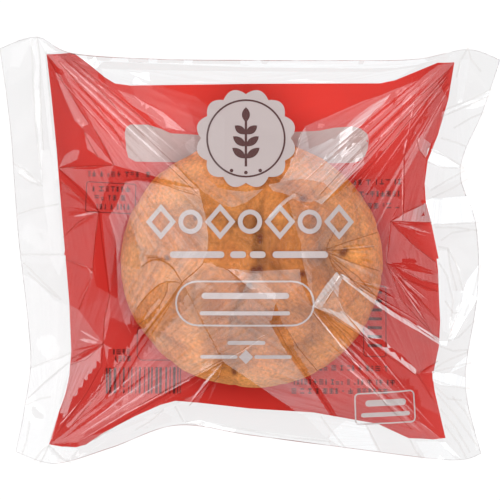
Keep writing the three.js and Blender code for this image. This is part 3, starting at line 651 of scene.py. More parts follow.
# ------------------------------------------------------------------ ridges
def all_ridges():
    """Every ridge, of the list and of the fans."""
    dice = random.Random(7)
    ridges = [Ridge([px(*p) for p in path], *sizes) for path, *sizes in RIDGES]
    for a, b, c, d, count, rise in FANS:
        for i in range(count):
            near = (i + dice.uniform(0.1, 0.9)) / count
            far = min(1, max(0, near + dice.uniform(-0.1, 0.1)))
            start = (a[0] + (b[0] - a[0]) * near, a[1] + (b[1] - a[1]) * near)
            end = (c[0] + (d[0] - c[0]) * far, c[1] + (d[1] - c[1]) * far)
            first, last = dice.uniform(0, 0.25), dice.uniform(0.7, 1)
            path = [(start[0] + (end[0] - start[0]) * t, start[1] + (end[1] - start[1]) * t)
                    for t in (first, last)]
            width = dice.uniform(0.3, 0.7)
            up = rise * dice.uniform(0.4, 1) * dice.choice((1, 1, -1))
            shine = dice.uniform(1.2, 2.6) if up > 0 else 0.1
            ridges.append(Ridge([px(*p) for p in path], up, width, width, shine))
    return ridges


class Ridge:
    """One ridge: its lines for the mesh, and its rise at any point."""

    def __init__(self, path, rise, left, right, shine=1.0, step=2.5):
        path = np.array(path, float)
        lengths = np.linalg.norm(np.diff(path, axis=0), axis=1)
        run = np.concatenate([[0], np.cumsum(lengths)])
        count = max(4, round(run[-1] / step))
        at = np.linspace(0, run[-1], count + 1)
        self.crest = np.stack([np.interp(at, run, path[:, k]) for k in range(2)], -1)
        self.share = at / run[-1]
        self.rise, self.left, self.right, self.shine = rise, left, right, shine

    def size(self, t):
        return np.sqrt(np.sin(np.pi * np.clip(t, 0, 1)))

    def lines(self):
        along = np.gradient(self.crest, axis=0)
        along /= np.linalg.norm(along, axis=1)[:, None]
        aside = np.stack([-along[:, 1], along[:, 0]], -1)
        size = self.size(self.share)[:, None]
        return [self.crest, self.crest + aside * self.left * size,
                self.crest - aside * self.right * size]

    def __call__(self, x, y):
        """The ridge's rise at points."""
        reach = max(self.left, self.right)
        (x0, y0), (x1, y1) = self.crest.min(0) - reach, self.crest.max(0) + reach
        near = (x > x0) & (x < x1) & (y > y0) & (y < y1)
        rise = np.zeros(x.shape)
        rise[near] = self.rise_near(x[near], y[near])
        return rise

    def rise_near(self, x, y):
        best = np.full(x.shape, 1e9)
        value = np.zeros(x.shape)
        for i in range(len(self.crest) - 1):
            (ax, ay), (bx, by) = self.crest[i], self.crest[i + 1]
            length = math.hypot(bx - ax, by - ay)
            ux, uy = (bx - ax) / length, (by - ay) / length
            t = np.clip((x - ax) * ux + (y - ay) * uy, 0, length)
            ox, oy = x - ax - t * ux, y - ay - t * uy
            away = np.hypot(ox, oy)
            share = self.share[i] + (self.share[i + 1] - self.share[i]) * t / length
            size = self.size(share)
            width = np.where(ux * oy - uy * ox > 0, self.left, self.right) * size + 1e-6
            here = self.rise * size * np.clip(1 - away / width, 0, 1)
            closer = away < best
            value = np.where(closer, here, value)
            best = np.where(closer, away, best)
        return value


# ------------------------------------------------------------------ mesh helpers
def mesh_object(name, vertices, faces, material, sharp=None):
    mesh = bpy.data.meshes.new(name)
    mesh.from_pydata([tuple(c * MM for c in v) for v in vertices], [], faces)
    mesh.validate()
    mesh.update()
    mesh.shade_smooth()
    if sharp:
        mesh.set_sharp_from_angle(angle=math.radians(sharp))
    piece = bpy.data.objects.new(name, mesh)
    bpy.context.scene.collection.objects.link(piece)
    piece.data.materials.append(material)
    return piece


def grid_faces(rows, columns, offset=0, flipped=False):
    r, c = np.meshgrid(np.arange(rows - 1), np.arange(columns - 1), indexing="ij")
    a = (offset + r * columns + c).ravel()
    quads = np.stack([a, a + 1, a + columns + 1, a + columns], 1)
    if flipped:
        quads = quads[:, ::-1]
    return quads.tolist()


def tree_of(points, faces):
    return BVHTree.FromPolygons([Vector(p) for p in points], faces)


def height_on(tree, x, y):
    hit = tree.ray_cast(Vector((x, y, 200)), Vector((0, 0, -1)))[0]
    return None if hit is None else hit.z


def nearest_height(tree, x, y):
    """The film's height at a place, or at the film's nearest point where the place is past it."""
    height = height_on(tree, x, y)
    return tree.find_nearest(Vector((x, y, 17)))[0].z if height is None else height


# ------------------------------------------------------------------ materials
def new_material(name):
    material = bpy.data.materials.new(name)
    material.use_nodes = True
    tree = material.node_tree
    tree.nodes.clear()
    return material, tree


def add(tree, kind, **inputs):
    node = tree.nodes.new("ShaderNode" + kind)
    for key, value in inputs.items():
        name = key.replace("_", " ")
        if hasattr(value, "is_output"):
            tree.links.new(value, node.inputs[name])
        else:
            node.inputs[name].default_value = value
    return node


def attribute(tree, name):
    """A value that the mesh has as an attribute."""
    node = tree.nodes.new("ShaderNodeAttribute")
    node.attribute_name = name
    return node.outputs["Fac"]


def spread(tree, value, low, high, to_low=0.0, to_high=1.0):
    """A value moved from one range to another."""
    node = tree.nodes.new("ShaderNodeMapRange")
    for name, number in (("From Min", low), ("From Max", high), ("To Min", to_low),
                         ("To Max", to_high)):
        node.inputs[name].default_value = number
    tree.links.new(value, node.inputs["Value"])
    return node.outputs["Result"]


def blend(tree, factor, a, b, kind="MIX"):
    """A mix of two colours."""
    node = tree.nodes.new("ShaderNodeMix")
    node.data_type = "RGBA"
    node.blend_type = kind
    for place, value in ((0, factor), (6, a), (7, b)):
        if hasattr(value, "is_output"):
            tree.links.new(value, node.inputs[place])
        else:
            node.inputs[place].default_value = (*value, 1) if place else value
    return node.outputs[2]


def product(tree, a, b):
    node = add(tree, "Math")
    node.operation = "MULTIPLY"
    tree.links.new(a, node.inputs[0])
    tree.links.new(b, node.inputs[1])
    return node.outputs[0]


def texture(tree, scale, detail, **inputs):
    """Noise that is fixed to the piece."""
    place = tree.nodes.new("ShaderNodeTexCoord")
    noisy = add(tree, "TexNoise", Scale=scale, Detail=detail, **inputs)
    tree.links.new(place.outputs["Object"], noisy.inputs["Vector"])
    return noisy.outputs["Fac"]


def surface(tree, shader):
    tree.links.new(shader.outputs[0], add(tree, "OutputMaterial").inputs["Surface"])


def see_through(tree, gloss_share, roughness):
    """Film: a share mirrors and the rest goes through, tinted."""
    clear = add(tree, "BsdfTransparent", Color=(*FILM_TINT, 1))
    gloss = add(tree, "BsdfAnisotropic", Color=(1, 1, 1, 1), Roughness=roughness)
    mix = add(tree, "MixShader")
    if hasattr(gloss_share, "is_output"):
        tree.links.new(gloss_share, mix.inputs[0])
    else:
        mix.inputs[0].default_value = gloss_share
    tree.links.new(clear.outputs[0], mix.inputs[1])
    tree.links.new(gloss.outputs[0], mix.inputs[2])
    surface(tree, mix)


def back_film_material():
    """The back film mirrors only what is inside the pack, and little of it."""
    material, tree = new_material("back_film")
    see_through(tree, BACK_GLOSS, 0.1)
    return material


def film_material():
    """The front film mirrors by its angle, its facet's shine and the fine streaks."""
    material, tree = new_material("clear_film")
    fresnel = add(tree, "LayerWeight", Blend=0.35).outputs["Fresnel"]
    place = tree.nodes.new("ShaderNodeUVMap")
    place.uv_map = "streaks"
    streak = add(tree, "TexNoise", Scale=1.0, Detail=4.0, Roughness=0.6)
    streak.noise_dimensions = "2D"
    tree.links.new(place.outputs[0], streak.inputs["Vector"])
    share = spread(tree, fresnel, 0.04, 1, FACED, GLANCED)
    share = product(tree, share, attribute(tree, "shine"))
    share = product(tree, share, spread(tree, streak.outputs["Fac"], 0.3, 0.7, *STREAK_SHINE))
    see_through(tree, share, 0.03)
    return material


def plain_material(name, color, roughness, scale=300.0, vary=0.0, specular=0.5):
    """One colour, a little lighter and darker by places."""
    material, tree = new_material(name)
    shader = add(tree, "BsdfPrincipled", Roughness=roughness)
    shader.inputs["Specular IOR Level"].default_value = specular
    cloud = texture(tree, scale, 4.0)
    dark = [c * (1 - vary) for c in color]
    light = [min(1, c * (1 + vary)) for c in color]
    tree.links.new(blend(tree, cloud, dark, light), shader.inputs["Base Color"])
    surface(tree, shader)
    return material


def ink(name, color, vary=0.02):
    return plain_material(name, color, 0.5, 60, vary, 0.2)


# ------------------------------------------------------------------ the bag
def trimmed(flat, faces, origins, outline):
    """A flat net without the faces outside an outline, and without the points that only they
    had."""
    centres = np.array([[sum(flat[k][axis] for k in f) / len(f) for axis in (0, 1)] for f in faces])
    keep = inside(outline, centres[:, 0], centres[:, 1])
    faces = [f for f, k in zip(faces, keep) if k]
    used = sorted({k for f in faces for k in f})
    place = {k: i for i, k in enumerate(used)}
    return [flat[k] for k in used], [[place[k] for k in f] for f in faces], [origins[k] for k in used]


def make_bag():
    """The bag as one closed surface, and the trees of its front and back film."""
    u, v = film_grid(BACK_COLUMNS, BACK_ROWS)
    plan = film_plan(u, v)
    back = np.dstack([plan, back_height(u, v) - FILM_GAP / 2])
    back_faces = grid_faces(*back.shape[:2], flipped=True)
    back_points = back.reshape(-1, 3)
    back_tree = tree_of(back_points, back_faces)

    index = np.arange(len(back_points)).reshape(back.shape[:2])
    loop = np.concatenate([index[0, :], index[1:, -1], index[-1, -2::-1], index[-2:0:-1, 0]])
    seal = round(SEAL_SHARE * BACK_COLUMNS)
    inner = np.concatenate([index[0, seal:-seal], index[1:, -1 - seal], index[-1, -2 - seal:seal - 1:-1],
                            index[-2:0:-1, seal]])
    rim = back_points[inner].copy()
    rim[:, 2] += FILM_GAP
    tent = Tent(rim)
    coarse, coarse_faces, edges_kept, points_kept = facet_net(rim, tent)
    net_tree = tree_of(coarse, coarse_faces)

    points = [tuple(p[:2]) for p in back_points[loop]]
    count = len(points)
    edges = [(i, (i + 1) % count) for i in range(count)]
    offset = len(points)
    points += points_kept
    edges += [(a + offset, b + offset) for a, b in edges_kept]
    for _, *corners in CLEAR_FACETS:
        first = len(points)
        points += [px(*c) for c in corners]
        edges += [(first + i, first + (i + 1) % len(corners)) for i in range(len(corners))]
    ridges = all_ridges()
    for ridge in ridges:
        for line in ridge.lines():
            first = len(points)
            points += [tuple(p) for p in line]
            edges += [(first + i, first + i + 1) for i in range(len(line) - 1)]
    rows = round(140 / FRONT_STEP)
    columns = round(160 / FRONT_STEP)
    uu, vv = film_grid(columns, rows)
    lattice = film_plan(uu, vv)[1:-1, 1:-1].reshape(-1, 2)
    points += [tuple(p) for p in lattice]
    net = delaunay_2d_cdt([Vector(p) for p in points], edges, [], 1, 1e-3)
    flat, faces, origins = trimmed(net[0], net[2], net[3], points[:count])
    at_loop = {}
    for i, sources in enumerate(origins):
        for s in sources:
            if s < count:
                at_loop[s] = i
    xs = np.array([p.x for p in flat])
    ys = np.array([p.y for p in flat])
    rises = tent.folds(xs, ys) + sum(ridge(xs, ys) for ridge in ridges)
    front = []
    for p, rise in zip(flat, rises.tolist()):
        low = nearest_height(back_tree, p.x, p.y)
        high = height_on(net_tree, p.x, p.y)
        height = low + FILM_GAP if high is None else high + rise
        height = min(FILM_TOP, max(height, low + FILM_GAP, float(dome(p.x, p.y)) + max(rise, 0)))
        front.append((p.x, p.y, height))
    front_tree = tree_of(front, faces)

    vertices = front + back_points.tolist()
    start = len(front)
    ups = []
    for f in faces:
        a, b, c = (front[k] for k in f[:3])
        turn = (b[0] - a[0]) * (c[1] - a[1]) - (b[1] - a[1]) * (c[0] - a[0])
        ups.append(list(f) if turn > 0 else list(f)[::-1])
    allfaces = ups + [[k + start for k in f] for f in back_faces]
    for i in range(count):
        j = (i + 1) % count
        allfaces.append([start + loop[i], start + loop[j], at_loop[j], at_loop[i]])
    bag = mesh_object("film_bag", vertices, allfaces, film_material(), sharp=7)
    bag.data.materials.append(back_film_material())
    for polygon in bag.data.polygons:
        polygon.material_index = 1 if polygon.normal.z < -0.05 else 0
    give_shine(bag.data, ridges)
    return bag, make_edge_shade_lines(back), front_tree, back_tree


def make_edge_shade_lines(back):
    """Painted shade lines along the edges of the two folded sides and of the two seals, each with its
    ends.
    """
    first, last = round(EDGE_REACH * BACK_COLUMNS), round((1 - EDGE_REACH) * BACK_COLUMNS) + 1
    left = np.vstack([back[0, first:0:-1], back[:, 0], back[-1, 1:first]])
    right = np.vstack([back[0, last:], back[1:, -1], back[-1, -2:last:-1]])
    return [make_one_edge_shade("upper_edge_shade", back[-1][first:last], **FOLD_EDGE_SHADE),
            make_one_edge_shade("lower_edge_shade", back[0][first:last], **FOLD_EDGE_SHADE),
            make_one_edge_shade("left_edge_shade", left, **SEAL_EDGE_SHADE),
            make_one_edge_shade("right_edge_shade", right, **SEAL_EDGE_SHADE)]


def make_one_edge_shade(name, side, width, least, color):
    """A painted shade line along the film's edge on a side of the pack, thick and thin by turns."""
    path = side + np.array([0, 0, FILM_GAP / 2])
    vertices, faces = [], []
    corners = 6
    for i, spot in enumerate(path):
        along = path[min(i + 1, len(path) - 1)] - path[max(i - 1, 0)]
        aside = np.cross(along, [0, 0, 1])
        aside /= np.linalg.norm(aside)
        upward = np.cross(aside, along)
        upward /= np.linalg.norm(upward)
        ends = math.sin(math.pi * i / (len(path) - 1)) ** 0.3
        radius = least + width * ends * abs(noise.noise(Vector((spot[0] / 16, spot[1] / 16, 4.4)))) ** 0.5
        for k in range(corners):
            turn = 2 * math.pi * k / corners
            vertices.append(spot + radius * (math.cos(turn) * aside + math.sin(turn) * upward))
    for i in range(len(path) - 1):
        for k in range(corners):
            a, b = i * corners + k, i * corners + (k + 1) % corners
            faces.append([a, b, b + corners, a + corners])
    return mesh_object(name, vertices, faces, plain_material(name, color, 0.4, 200, 0.3))


def give_shine(mesh, ridges):
    """How much each face of the film shines, and the map of the streaks that run to the four
    corners."""
    centres = np.empty(3 * len(mesh.polygons))
    mesh.polygons.foreach_get("center", centres)
    x, y = centres.reshape(-1, 3)[:, :2].T / MM
    shine = np.full(len(x), PLAIN_SHINE)
    for level, *corners in FACETS + CLEAR_FACETS:
        shine[inside([px(*c) for c in corners], x, y)] = level
    for ridge in ridges:
        share = np.clip(2 * ridge(x, y) / ridge.rise, 0, 1)
        shine += share * (ridge.shine - shine)
    steep = np.array([polygon.normal.z < STEEP for polygon in mesh.polygons])
    shine[steep] = np.minimum(shine[steep], PLAIN_SHINE)
    mesh.attributes.new("shine", "FLOAT", "FACE").data.foreach_set("value", shine)
    corners = np.array([px(*c) for c in FILM_CORNERS])
    nearest = np.hypot(x[:, None] - corners[:, 0], y[:, None] - corners[:, 1]).argmin(1)
    spots = np.empty(3 * len(mesh.vertices))
    mesh.vertices.foreach_get("co", spots)
    spots = spots.reshape(-1, 3)[:, :2] / MM
    streaks = mesh.uv_layers.new(name="streaks").uv
    values = np.empty((len(mesh.loops), 2))
    for polygon in mesh.polygons:
        corner = corners[nearest[polygon.index]]
        for loop in polygon.loop_indices:
            away = spots[mesh.loops[loop].vertex_index] - corner
            turn = math.atan2(away[1] * np.sign(-corner[1]), away[0] * np.sign(-corner[0]))
            values[loop] = (STREAKS * turn, 0.03 * math.hypot(*away))
    streaks.foreach_set("vector", values.ravel())


# ------------------------------------------------------------------ the puff
def choux_material():
    """The crust's colour follows a golden share that is partly baked colour and partly painted light,
    painted shade by how deep it lies, and its dark spots, which the mesh has as attributes."""
    material, tree = new_material("choux")
    grain = texture(tree, 900.0, 3.0, Roughness=0.7)
    patches = spread(tree, texture(tree, 80.0, 4.0), 0.35, 0.65)
    brown = blend(tree, patches, (0.37, 0.1, 0.024), (0.55, 0.19, 0.048))
    golden_and_painted_light = blend(tree, patches, (0.74, 0.255, 0.053), (1, 0.42, 0.12))
    crust = blend(tree, attribute(tree, "golden_and_painted_light"), brown, golden_and_painted_light)
    # Painted shade: the crust is darker the deeper it lies in grooves and cracks, and lighter on the
    # lobes.
    shade = spread(tree, attribute(tree, "depth"), 0.2, DEEPEST, 1.16, 0.56)
    crust = blend(tree, 1.0, crust, shade, "MULTIPLY")
    crust = blend(tree, 1.0, crust, spread(tree, grain, 0.3, 0.7, 0.7, 1.24), "MULTIPLY")
    crust = blend(tree, attribute(tree, "spots"), crust, (0.13, 0.022, 0.012))
    shader = add(tree, "BsdfPrincipled", Roughness=0.6)
    shader.inputs["Specular IOR Level"].default_value = 0.12
    tree.links.new(crust, shader.inputs["Base Color"])
    relief = add(tree, "Bump", Strength=0.6, Distance=0.0003)
    tree.links.new(grain, relief.inputs["Height"])
    tree.links.new(relief.outputs[0], shader.inputs["Normal"])
    surface(tree, shader)
    return material


def make_puff():
    rings, sectors = 160, 320
    angle = np.pi * np.arange(1, rings) / rings
    turn = 2 * np.pi * np.arange(sectors) / sectors
    angle, turn = np.meshgrid(angle, turn, indexing="ij")
    top = angle <= np.pi / 2
    r = np.where(top, np.sin(angle), np.sin(angle) ** 0.6)
    z = np.where(top, PUFF_EQUATOR + (PUFF_HEIGHT - PUFF_EQUATOR) * np.cos(angle),
                 PUFF_EQUATOR * (1 + np.cos(angle)) + 0.6)
    x = PUFF_RADII[0] * r * np.cos(turn)
    y = PUFF_RADII[1] * r * np.sin(turn)
    sink = np.zeros(x.shape)
    edge = np.clip((r - 0.65) / 0.35, 0, 1)
    for i in range(x.shape[0]):
        for j in range(sectors):
            spot = Vector((x[i, j], y[i, j], z[i, j]))
            cells = noise.voronoi(spot / CRUST_FOLD_SIZES["cracks"] + Vector((0.4, 3.3, 8.1)))[0]
            crack = max(0.0, 1 - (cells[1] - cells[0]) / 0.22)
            lobes = noise.noise(spot / CRUST_FOLD_SIZES["lobes"] + Vector((3.1, 0.4, 7.7)))
            folds = noise.noise(spot / CRUST_FOLD_SIZES["folds"] + Vector((1.3, 5.4, 2.7)))
            relief = 0.9 * crack**1.5 - 1.6 * lobes - 0.4 * folds
            sink[i, j] = 0.9 - 0.4 * edge[i, j] + relief * (1 - 0.6 * edge[i, j])
    for path, depth, width in GROOVES:
        groove = Ridge([px(*p) for p in path], depth, width, width)
        sink += np.where(top, groove(x + PUFF_CENTRE[0], y + PUFF_CENTRE[1]), 0)
    sink = np.maximum(sink, 0)
    # The golden share: paler to the sides, partly baked colour and partly painted light for the sides'
    # lesser light; lighter towards the upper left and darker towards the lower right, as painted light.
    far = np.hypot(x / PUFF_RADII[0], y / PUFF_RADII[1])
    golden_and_painted_light = np.clip(0.12 + 0.85 * far**2 + 0.12 * y / PUFF_RADII[1]
                     - 0.05 * x / PUFF_RADII[0], 0, 1)
    spots = np.zeros(x.shape)
    for place, radius in SPOTS:
        sx, sy = px(*place)
        away = np.hypot(x + PUFF_CENTRE[0] - sx, y + PUFF_CENTRE[1] - sy)
        spots = np.maximum(spots, np.where(top, 0.85 * np.clip(1.5 - away / radius, 0, 1), 0))
    shrink = 1 - sink / 43
    x, y = PUFF_CENTRE[0] + x * shrink, PUFF_CENTRE[1] + y * shrink
    z = np.maximum(0.6, PUFF_EQUATOR + (z - PUFF_EQUATOR) * shrink)
    vertices = [(*PUFF_CENTRE, PUFF_HEIGHT - 0.7)]
    vertices += np.stack([x, y, z], -1).reshape(-1, 3).tolist()
    vertices.append((*PUFF_CENTRE, 0.6))
    faces = []
    for j in range(sectors):
        k = (j + 1) % sectors
        faces.append([0, 1 + j, 1 + k])
        last = 1 + (rings - 2) * sectors
        faces.append([len(vertices) - 1, last + k, last + j])
        for i in range(rings - 2):
            a = 1 + i * sectors
            faces.append([a + j, a + sectors + j, a + sectors + k, a + k])
    puff = mesh_object("cream_puff", vertices, faces, choux_material())
    for name, values in (("golden_and_painted_light", golden_and_painted_light), ("depth", sink), ("spots", spots)):
        values = [values[0].mean(), *values.ravel(), values[-1].mean()]
        puff.data.attributes.new(name, "FLOAT", "POINT").data.foreach_set("value", values)
    return puff


# ------------------------------------------------------------------ prints
def fill(outline, step=1.5):
    """A flat shape inside an outline in the photograph, as (points in mm, faces)."""
    loop = []
    corners = [px(*p) for p in outline]
    for (x0, y0), (x1, y1) in zip(corners, corners[1:] + corners[:1]):
        parts = max(1, round(math.hypot(x1 - x0, y1 - y0) / step))
        loop += [(x0 + (x1 - x0) * k / parts, y0 + (y1 - y0) * k / parts) for k in range(parts)]
    edges = [(i, (i + 1) % len(loop)) for i in range(len(loop))]
    xs, ys = zip(*loop)
    points = list(loop)
    for i in range(1, int((max(xs) - min(xs)) / step) + 1):
        for j in range(1, int((max(ys) - min(ys)) / step) + 1):
            spot = (min(xs) + i * step, min(ys) + j * step)
            if inside(loop, *map(np.array, spot)):
                points.append(spot)
    flat, _, faces, _, _, _ = delaunay_2d_cdt([Vector(p) for p in points], edges, [], 1, 1e-4)
    return [(p.x, p.y) for p in flat], [list(f) for f in faces]


def stroke(path, width, closed=False):
    """A flat line of a width, both in the photograph's pixels, as (points in mm, faces)."""
    path = np.array(path, float)
    ahead = np.roll(path, -1, axis=0) - path
    behind = path - np.roll(path, 1, axis=0)
    if not closed:
        ahead[-1] = behind[-1]
        behind[0] = ahead[0]
    ahead /= np.linalg.norm(ahead, axis=1)[:, None]
    behind /= np.linalg.norm(behind, axis=1)[:, None]
    along = ahead + behind
    along /= np.linalg.norm(along, axis=1)[:, None] + 1e-9
    reach = width / 2 / np.maximum((along * ahead).sum(1), 0.4)
    aside = np.stack([-along[:, 1], along[:, 0]], -1) * reach[:, None]
    points = [px(*p) for p in np.vstack([path + aside, path - aside])]
    count = len(path)
    last = count if closed else count - 1
    return points, [[i, (i + 1) % count, count + (i + 1) % count, count + i] for i in range(last)]


def dense(path, step=3.0):
    """A path in the photograph with points no further apart than a step."""
    result = [path[0]]
    for (x0, y0), (x1, y1) in zip(path, path[1:]):
        parts = max(1, round(math.hypot(x1 - x0, y1 - y0) / step))
        result += [(x0 + (x1 - x0) * k / parts, y0 + (y1 - y0) * k / parts)
                   for k in range(1, parts + 1)]
    return result


def dash(x0, y0, x1, y1, width):
    """A straight line with round ends."""
    angle = math.atan2(y1 - y0, x1 - x0)
    radius = width / 2
    ends = []
    for x, y, turn in ((x1, y1, -math.pi / 2), (x0, y0, math.pi / 2)):
        for k in range(7):
            here = angle + turn + math.pi * k / 6
            ends.append((x + radius * math.cos(here), y + radius * math.sin(here)))
    return fill(ends)


def round_box(x0, y0, x1, y1, radius, lean=0.0):
    """The outline of a box with round corners, turned by an angle."""
    cx, cy = (x0 + x1) / 2, (y0 + y1) / 2
    path = []
    for x, y, start in ((x1 - radius, y1 - radius, 0), (x0 + radius, y1 - radius, 1),
                        (x0 + radius, y0 + radius, 2), (x1 - radius, y0 + radius, 3)):
        for k in range(7):
            here = math.pi / 2 * (start + k / 6)
            path.append((x + radius * math.cos(here), y + radius * math.sin(here)))
    path = dense(path + path[:1])[:-1]
    c, s = math.cos(lean), math.sin(lean)
    return [(cx + (x - cx) * c - (y - cy) * s, cy + (x - cx) * s + (y - cy) * c) for x, y in path]


def circle(cx, cy, radius, count=36, waves=0, depth=0.0):
    return [(cx + (radius + depth * abs(math.sin(waves * t / 2))) * math.cos(t),
             cy + (radius + depth * abs(math.sin(waves * t / 2))) * math.sin(t))
            for t in (2 * math.pi * k / count for k in range(count))]


def leaf(x, y, angle, length, width):
    """A pointed leaf from its foot."""
    c, s = math.cos(angle), math.sin(angle)
    edge = [(t * length, width / 2 * math.sin(math.pi * t) ** 0.8) for t in
            (k / 8 for k in range(9))]
    loop = edge + [(a, -b) for a, b in edge[-2:0:-1]]
    return [(x + a * c - b * s, y + a * s + b * c) for a, b in loop]


def lay(name, tree, shapes, lift, material):
    """Flat shapes laid on a film as one piece."""
    vertices, faces = [], []
    for points, shape_faces in shapes:
        start = len(vertices)
        vertices += [(x, y, nearest_height(tree, x, y) + lift) for x, y in points]
        faces += [[k + start for k in f] for f in shape_faces]
    return mesh_object(name, vertices, faces, material)


BAR = [(129, 123), (147, 123), (160, 127), (170, 131.5), (200, 133), (296, 130), (320, 129),
       (335, 126), (354, 125), (362, 127), (368, 132), (370, 139), (369, 147), (366, 155),
       (360, 160), (352, 161.5), (250, 161), (134, 160), (127, 156), (125, 148), (123.5, 131), (125, 126)]


def red_material():
    """Red ink with painted light: lighter along the middle of the upper side, where it stands in for
    fuller light, and darker elsewhere. The ranges are in metres.
    """
    material = plain_material("red_ink_painted_light", (1, 1, 1), 0.5, 60, 0.03, 0.2)
    tree = material.node_tree
    shader = next(n for n in tree.nodes if n.type == "BSDF_PRINCIPLED")
    cloud = shader.inputs["Base Color"].links[0].from_socket
    split = tree.nodes.new("ShaderNodeSeparateXYZ")
    place = next(n for n in tree.nodes if n.type == "TEX_COORD")
    tree.links.new(place.outputs["Object"], split.inputs[0])
    aside = add(tree, "Math")
    aside.operation = "ABSOLUTE"
    tree.links.new(split.outputs["X"], aside.inputs[0])
    # Painted light: this mask is 1 along the middle of the upper side, where the red takes its lit copy;
    # elsewhere it takes its shaded copy.
    upper = spread(tree, split.outputs["Y"], 0.024, 0.046)
    middle = spread(tree, aside.outputs[0], 0.06, 0.044)
    red = blend(tree, product(tree, upper, middle), (0.65, 0.041, 0.032), (0.88, 0.056, 0.042))
    tree.links.new(blend(tree, 1.0, red, cloud, "MULTIPLY"), shader.inputs["Base Color"])
    return material


def make_back_print(tree):
    right = RED_RIGHT[:7] + [(435.6, 258.3), (437.6, 257.9)] + RED_RIGHT[7:]
    left = RED_LEFT[:7] + [(66.6, 254.8), (65.2, 254.2)] + RED_LEFT[7:]
    outline = RED_LOWER + right[1:] + RED_UPPER[-2::-1] + left[-2:0:-1]
    dice = random.Random(3)
    marks = []
    for x0, x1, y in ((88, 150, 173), (92, 128, 188), (94, 128, 197), (96, 126, 206),
                      (355, 398, 181), (360, 398, 193), (366, 398, 205), (285, 388, 369),
                      (282, 392, 383), (292, 388, 392), (112, 132, 352), (114, 128, 359)):
        x = x0
        while x < x1:
            length = dice.uniform(1.5, 5)
            for lift in (-2, 0, 2):
                if dice.random() < 0.7:
                    marks.append(stroke([(x, y + lift), (x + length, y + lift)], 1.1))
            if dice.random() < 0.6:
                marks.append(stroke([(x + length / 2, y - 2.8), (x + length / 2, y + 2.8)], 1.1))
            x += length + dice.choice((1.4, 1.8, 4))
    for box in ((86, 182, 134, 212, 2, 0.04), (365, 286, 387, 357, 3), (136, 326, 182, 361, 6)):
        marks.append(stroke(round_box(*box), 0.7, closed=True))
    for y in range(292, 352, 9):
        marks.append(stroke([(369, y), (383, y)], 3))
    x = 106.0
    while x < 181:
        width = dice.choice((0.9, 1.2, 1.8, 2.6))
        marks.append(stroke(dense([(x, 368), (x, 394)]), width))
        x += width + dice.choice((1.0, 1.4, 2.2, 3.0))
    pieces = [
        lay("red_print", tree, [fill(outline)], LIFTS["red"], red_material()),
        lay("pale_bar", tree, [fill(BAR)], LIFTS["on_red"], ink("pale_ink", (0.6, 0.49, 0.47))),
        lay("back_marks", tree, marks, LIFTS["on_red"], ink("dark_ink", (0.13, 0.02, 0.02))),
    ]
    return pieces


def make_crease_shade(name, tree, paths, width, darkest):
    """Painted shade: fine tinted lines on the film, where a film's sharp creases show dark from above."""
    material, nodes = new_material(name)
    clear = add(nodes, "BsdfTransparent")
    # Painted shade: the lines' tint runs from the darkest colour to nearly clear.
    tint = blend(nodes, texture(nodes, 120.0, 2.0), darkest, (1, 0.99, 0.98))
    nodes.links.new(tint, clear.inputs["Color"])
    surface(nodes, clear)
    lines = [stroke(dense(path), width) for path in paths]
    return lay(name, tree, lines, LIFTS["crease"], material)


def make_front_print(tree):
    """Generic shapes where the front is printed: a round badge with a sprig, a row of simple
    motifs, dashes, a framed line and a small framed box."""
    white = [fill(circle(246, 140, 44, 120, 12, 5.5))]
    for k, x in enumerate((163, 192, 221, 250, 279, 308, 337)):
        if k % 2:
            white.append(stroke(circle(x, 222, 9.5, 30), 4.6, closed=True))
        else:
            diamond = [(x, 208), (x + 12, 222), (x, 236), (x - 12, 222), (x, 208)]
            white.append(stroke(dense(diamond)[:-1], 4.4, closed=True))
    for x0, x1 in ((175, 222), (234, 243), (253, 262), (275, 323)):
        white.append(dash(x0, 254, x1, 254, 6.5))
    white.append(stroke(round_box(178, 280, 312, 323, 21), 1.7, closed=True))
    white += [dash(206, 294, 285, 294, 6), dash(203, 311, 287, 311, 4)]
    white.append(dash(230, 340, 263, 340, 4))
    white += [dash(203, 354, 236, 354, 3.5), dash(256, 354, 289, 354, 3.5),
              fill([(246, 347), (253, 354), (246, 361), (239, 354)])]
    white.append(stroke(round_box(354, 390, 413, 421, 4, -0.05), 1.5, closed=True))
    white += [dash(367, 401, 401, 399.5, 6.5), dash(362, 413, 406, 411, 4.5)]
    brown = [stroke(circle(246, 140, 38, 60), 1.8, closed=True),
             stroke(dense([(246, 168), (246, 150), (246, 122)]), 2.4)]
    for y, reach in ((160, 17), (148, 16), (136, 14)):
        for side in (1, -1):
            brown.append(fill(leaf(246, y, math.radians(-90 + side * 52), reach, 7.5)))
    brown.append(fill(leaf(246, 124, math.radians(-90), 15, 8)))
    for x in (-14, 0, 14):
        brown.append(fill(circle(246 + x, 172 if x else 174, 1.8, 12)))
    return [
        lay("front_print", tree, white, LIFTS["white"], ink("white_ink", (0.58, 0.49, 0.48), 0.01)),
        lay("badge_print", tree, brown, LIFTS["brown"], ink("brown_ink", (0.1, 0.038, 0.036), 0.01)),
    ]


# ------------------------------------------------------------------ the studio
def make_floor():
    size = 6000
    corners = [(-size, -size, -0.3), (size, -size, -0.3), (size, size, -0.3), (-size, size, -0.3)]
    white = plain_material("floor", (0.1, 0.1, 0.1), 0.8, specular=0)
    shader = next(n for n in white.node_tree.nodes if n.type == "BSDF_PRINCIPLED")
    shader.inputs["Emission Color"].default_value = (1, 1, 1, 1)
    shader.inputs["Emission Strength"].default_value = 0.94
    floor = mesh_object("floor", corners, [[0, 1, 2, 3]], white)


def add_lamp(name, x, y, z, size_x, size_y, power, color=(1, 1, 1)):
    data = bpy.data.lights.new(name, "AREA")
    data.shape = "RECTANGLE"
    data.size, data.size_y = size_x, size_y
    data.energy = power
    data.color = color
    lamp = bpy.data.objects.new(name, data)
    lamp.location = (x, y, z)
    bpy.context.scene.collection.objects.link(lamp)
    return lamp


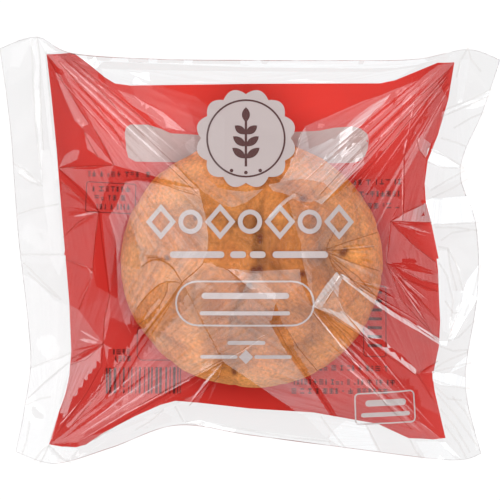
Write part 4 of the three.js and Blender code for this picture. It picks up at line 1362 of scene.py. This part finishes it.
def make_lights():
    for name, panel in PANELS.items():
        (x0, x1), (y0, y1) = panel["x"], panel["y"]
        across, along = (x1 - x0) * PANEL_HEIGHT, (y1 - y0) * PANEL_HEIGHT
        lamp = add_lamp(name, (x0 + x1) / 2 * PANEL_HEIGHT, (y0 + y1) / 2 * PANEL_HEIGHT,
                        PANEL_HEIGHT, across, along, panel["radiance"] * math.pi * across * along,
                        PANEL_COLOUR)
        lamp.visible_diffuse = False
    across, along, height = TOP_PANEL
    lamp = add_lamp("top", 0, 0, height, across, along, math.pi * across * along)
    lamp.visible_diffuse = False
    lamp = add_lamp("fill", 0, 0, FILL["height"], FILL["size"], FILL["size"], FILL["power"])
    lamp.visible_glossy = False
    world = bpy.data.worlds.new("studio")
    world.use_nodes = True
    world.node_tree.nodes["Background"].inputs[0].default_value = (1, 1, 1, 1)
    world.node_tree.nodes["Background"].inputs[1].default_value = ROOM_LIGHT
    bpy.context.scene.world = world


def make_camera():
    data = bpy.data.cameras.new("camera")
    data.sensor_width = 36
    data.lens = data.sensor_width * (CAMERA_HEIGHT - SHARP_PLANE) / (500 * PIXEL * MM)
    camera = bpy.data.objects.new("camera", data)
    camera.location = (0, BOX_SHIFT * MM, CAMERA_HEIGHT)
    bpy.context.scene.collection.objects.link(camera)
    bpy.context.scene.camera = camera


def main():
    make_camera()
    make_lights()
    make_floor()
    bag, edge_shade_lines, front_tree, back_tree = make_bag()
    pieces = [(bag, "clear_film"), (make_puff(), "choux")]
    # Painted shade along the creases: darker lines on the front film, pale grey ones on the seals.
    crease_shade_lines = [make_crease_shade("film_crease_shade", front_tree, CREASE_SHADE_PATHS, 1.1, (0.72, 0.6, 0.56)),
               make_crease_shade("seal_crease_shade", front_tree, SEAL_CREASE_SHADE_PATHS, 2, (0.89, 0.885, 0.885))]
    pieces += [(piece, "clear_film") for piece in edge_shade_lines + crease_shade_lines]
    front_prints = make_front_print(front_tree)
    for piece in front_prints:
        piece.visible_shadow = False
    prints = make_back_print(back_tree) + front_prints
    pieces += [(piece, "printed_film") for piece in prints]
    for piece, slot in pieces:
        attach(piece, "root")
        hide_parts("sealed_pack")
    bpy.context.scene.view_settings.view_transform = "Standard"


main()
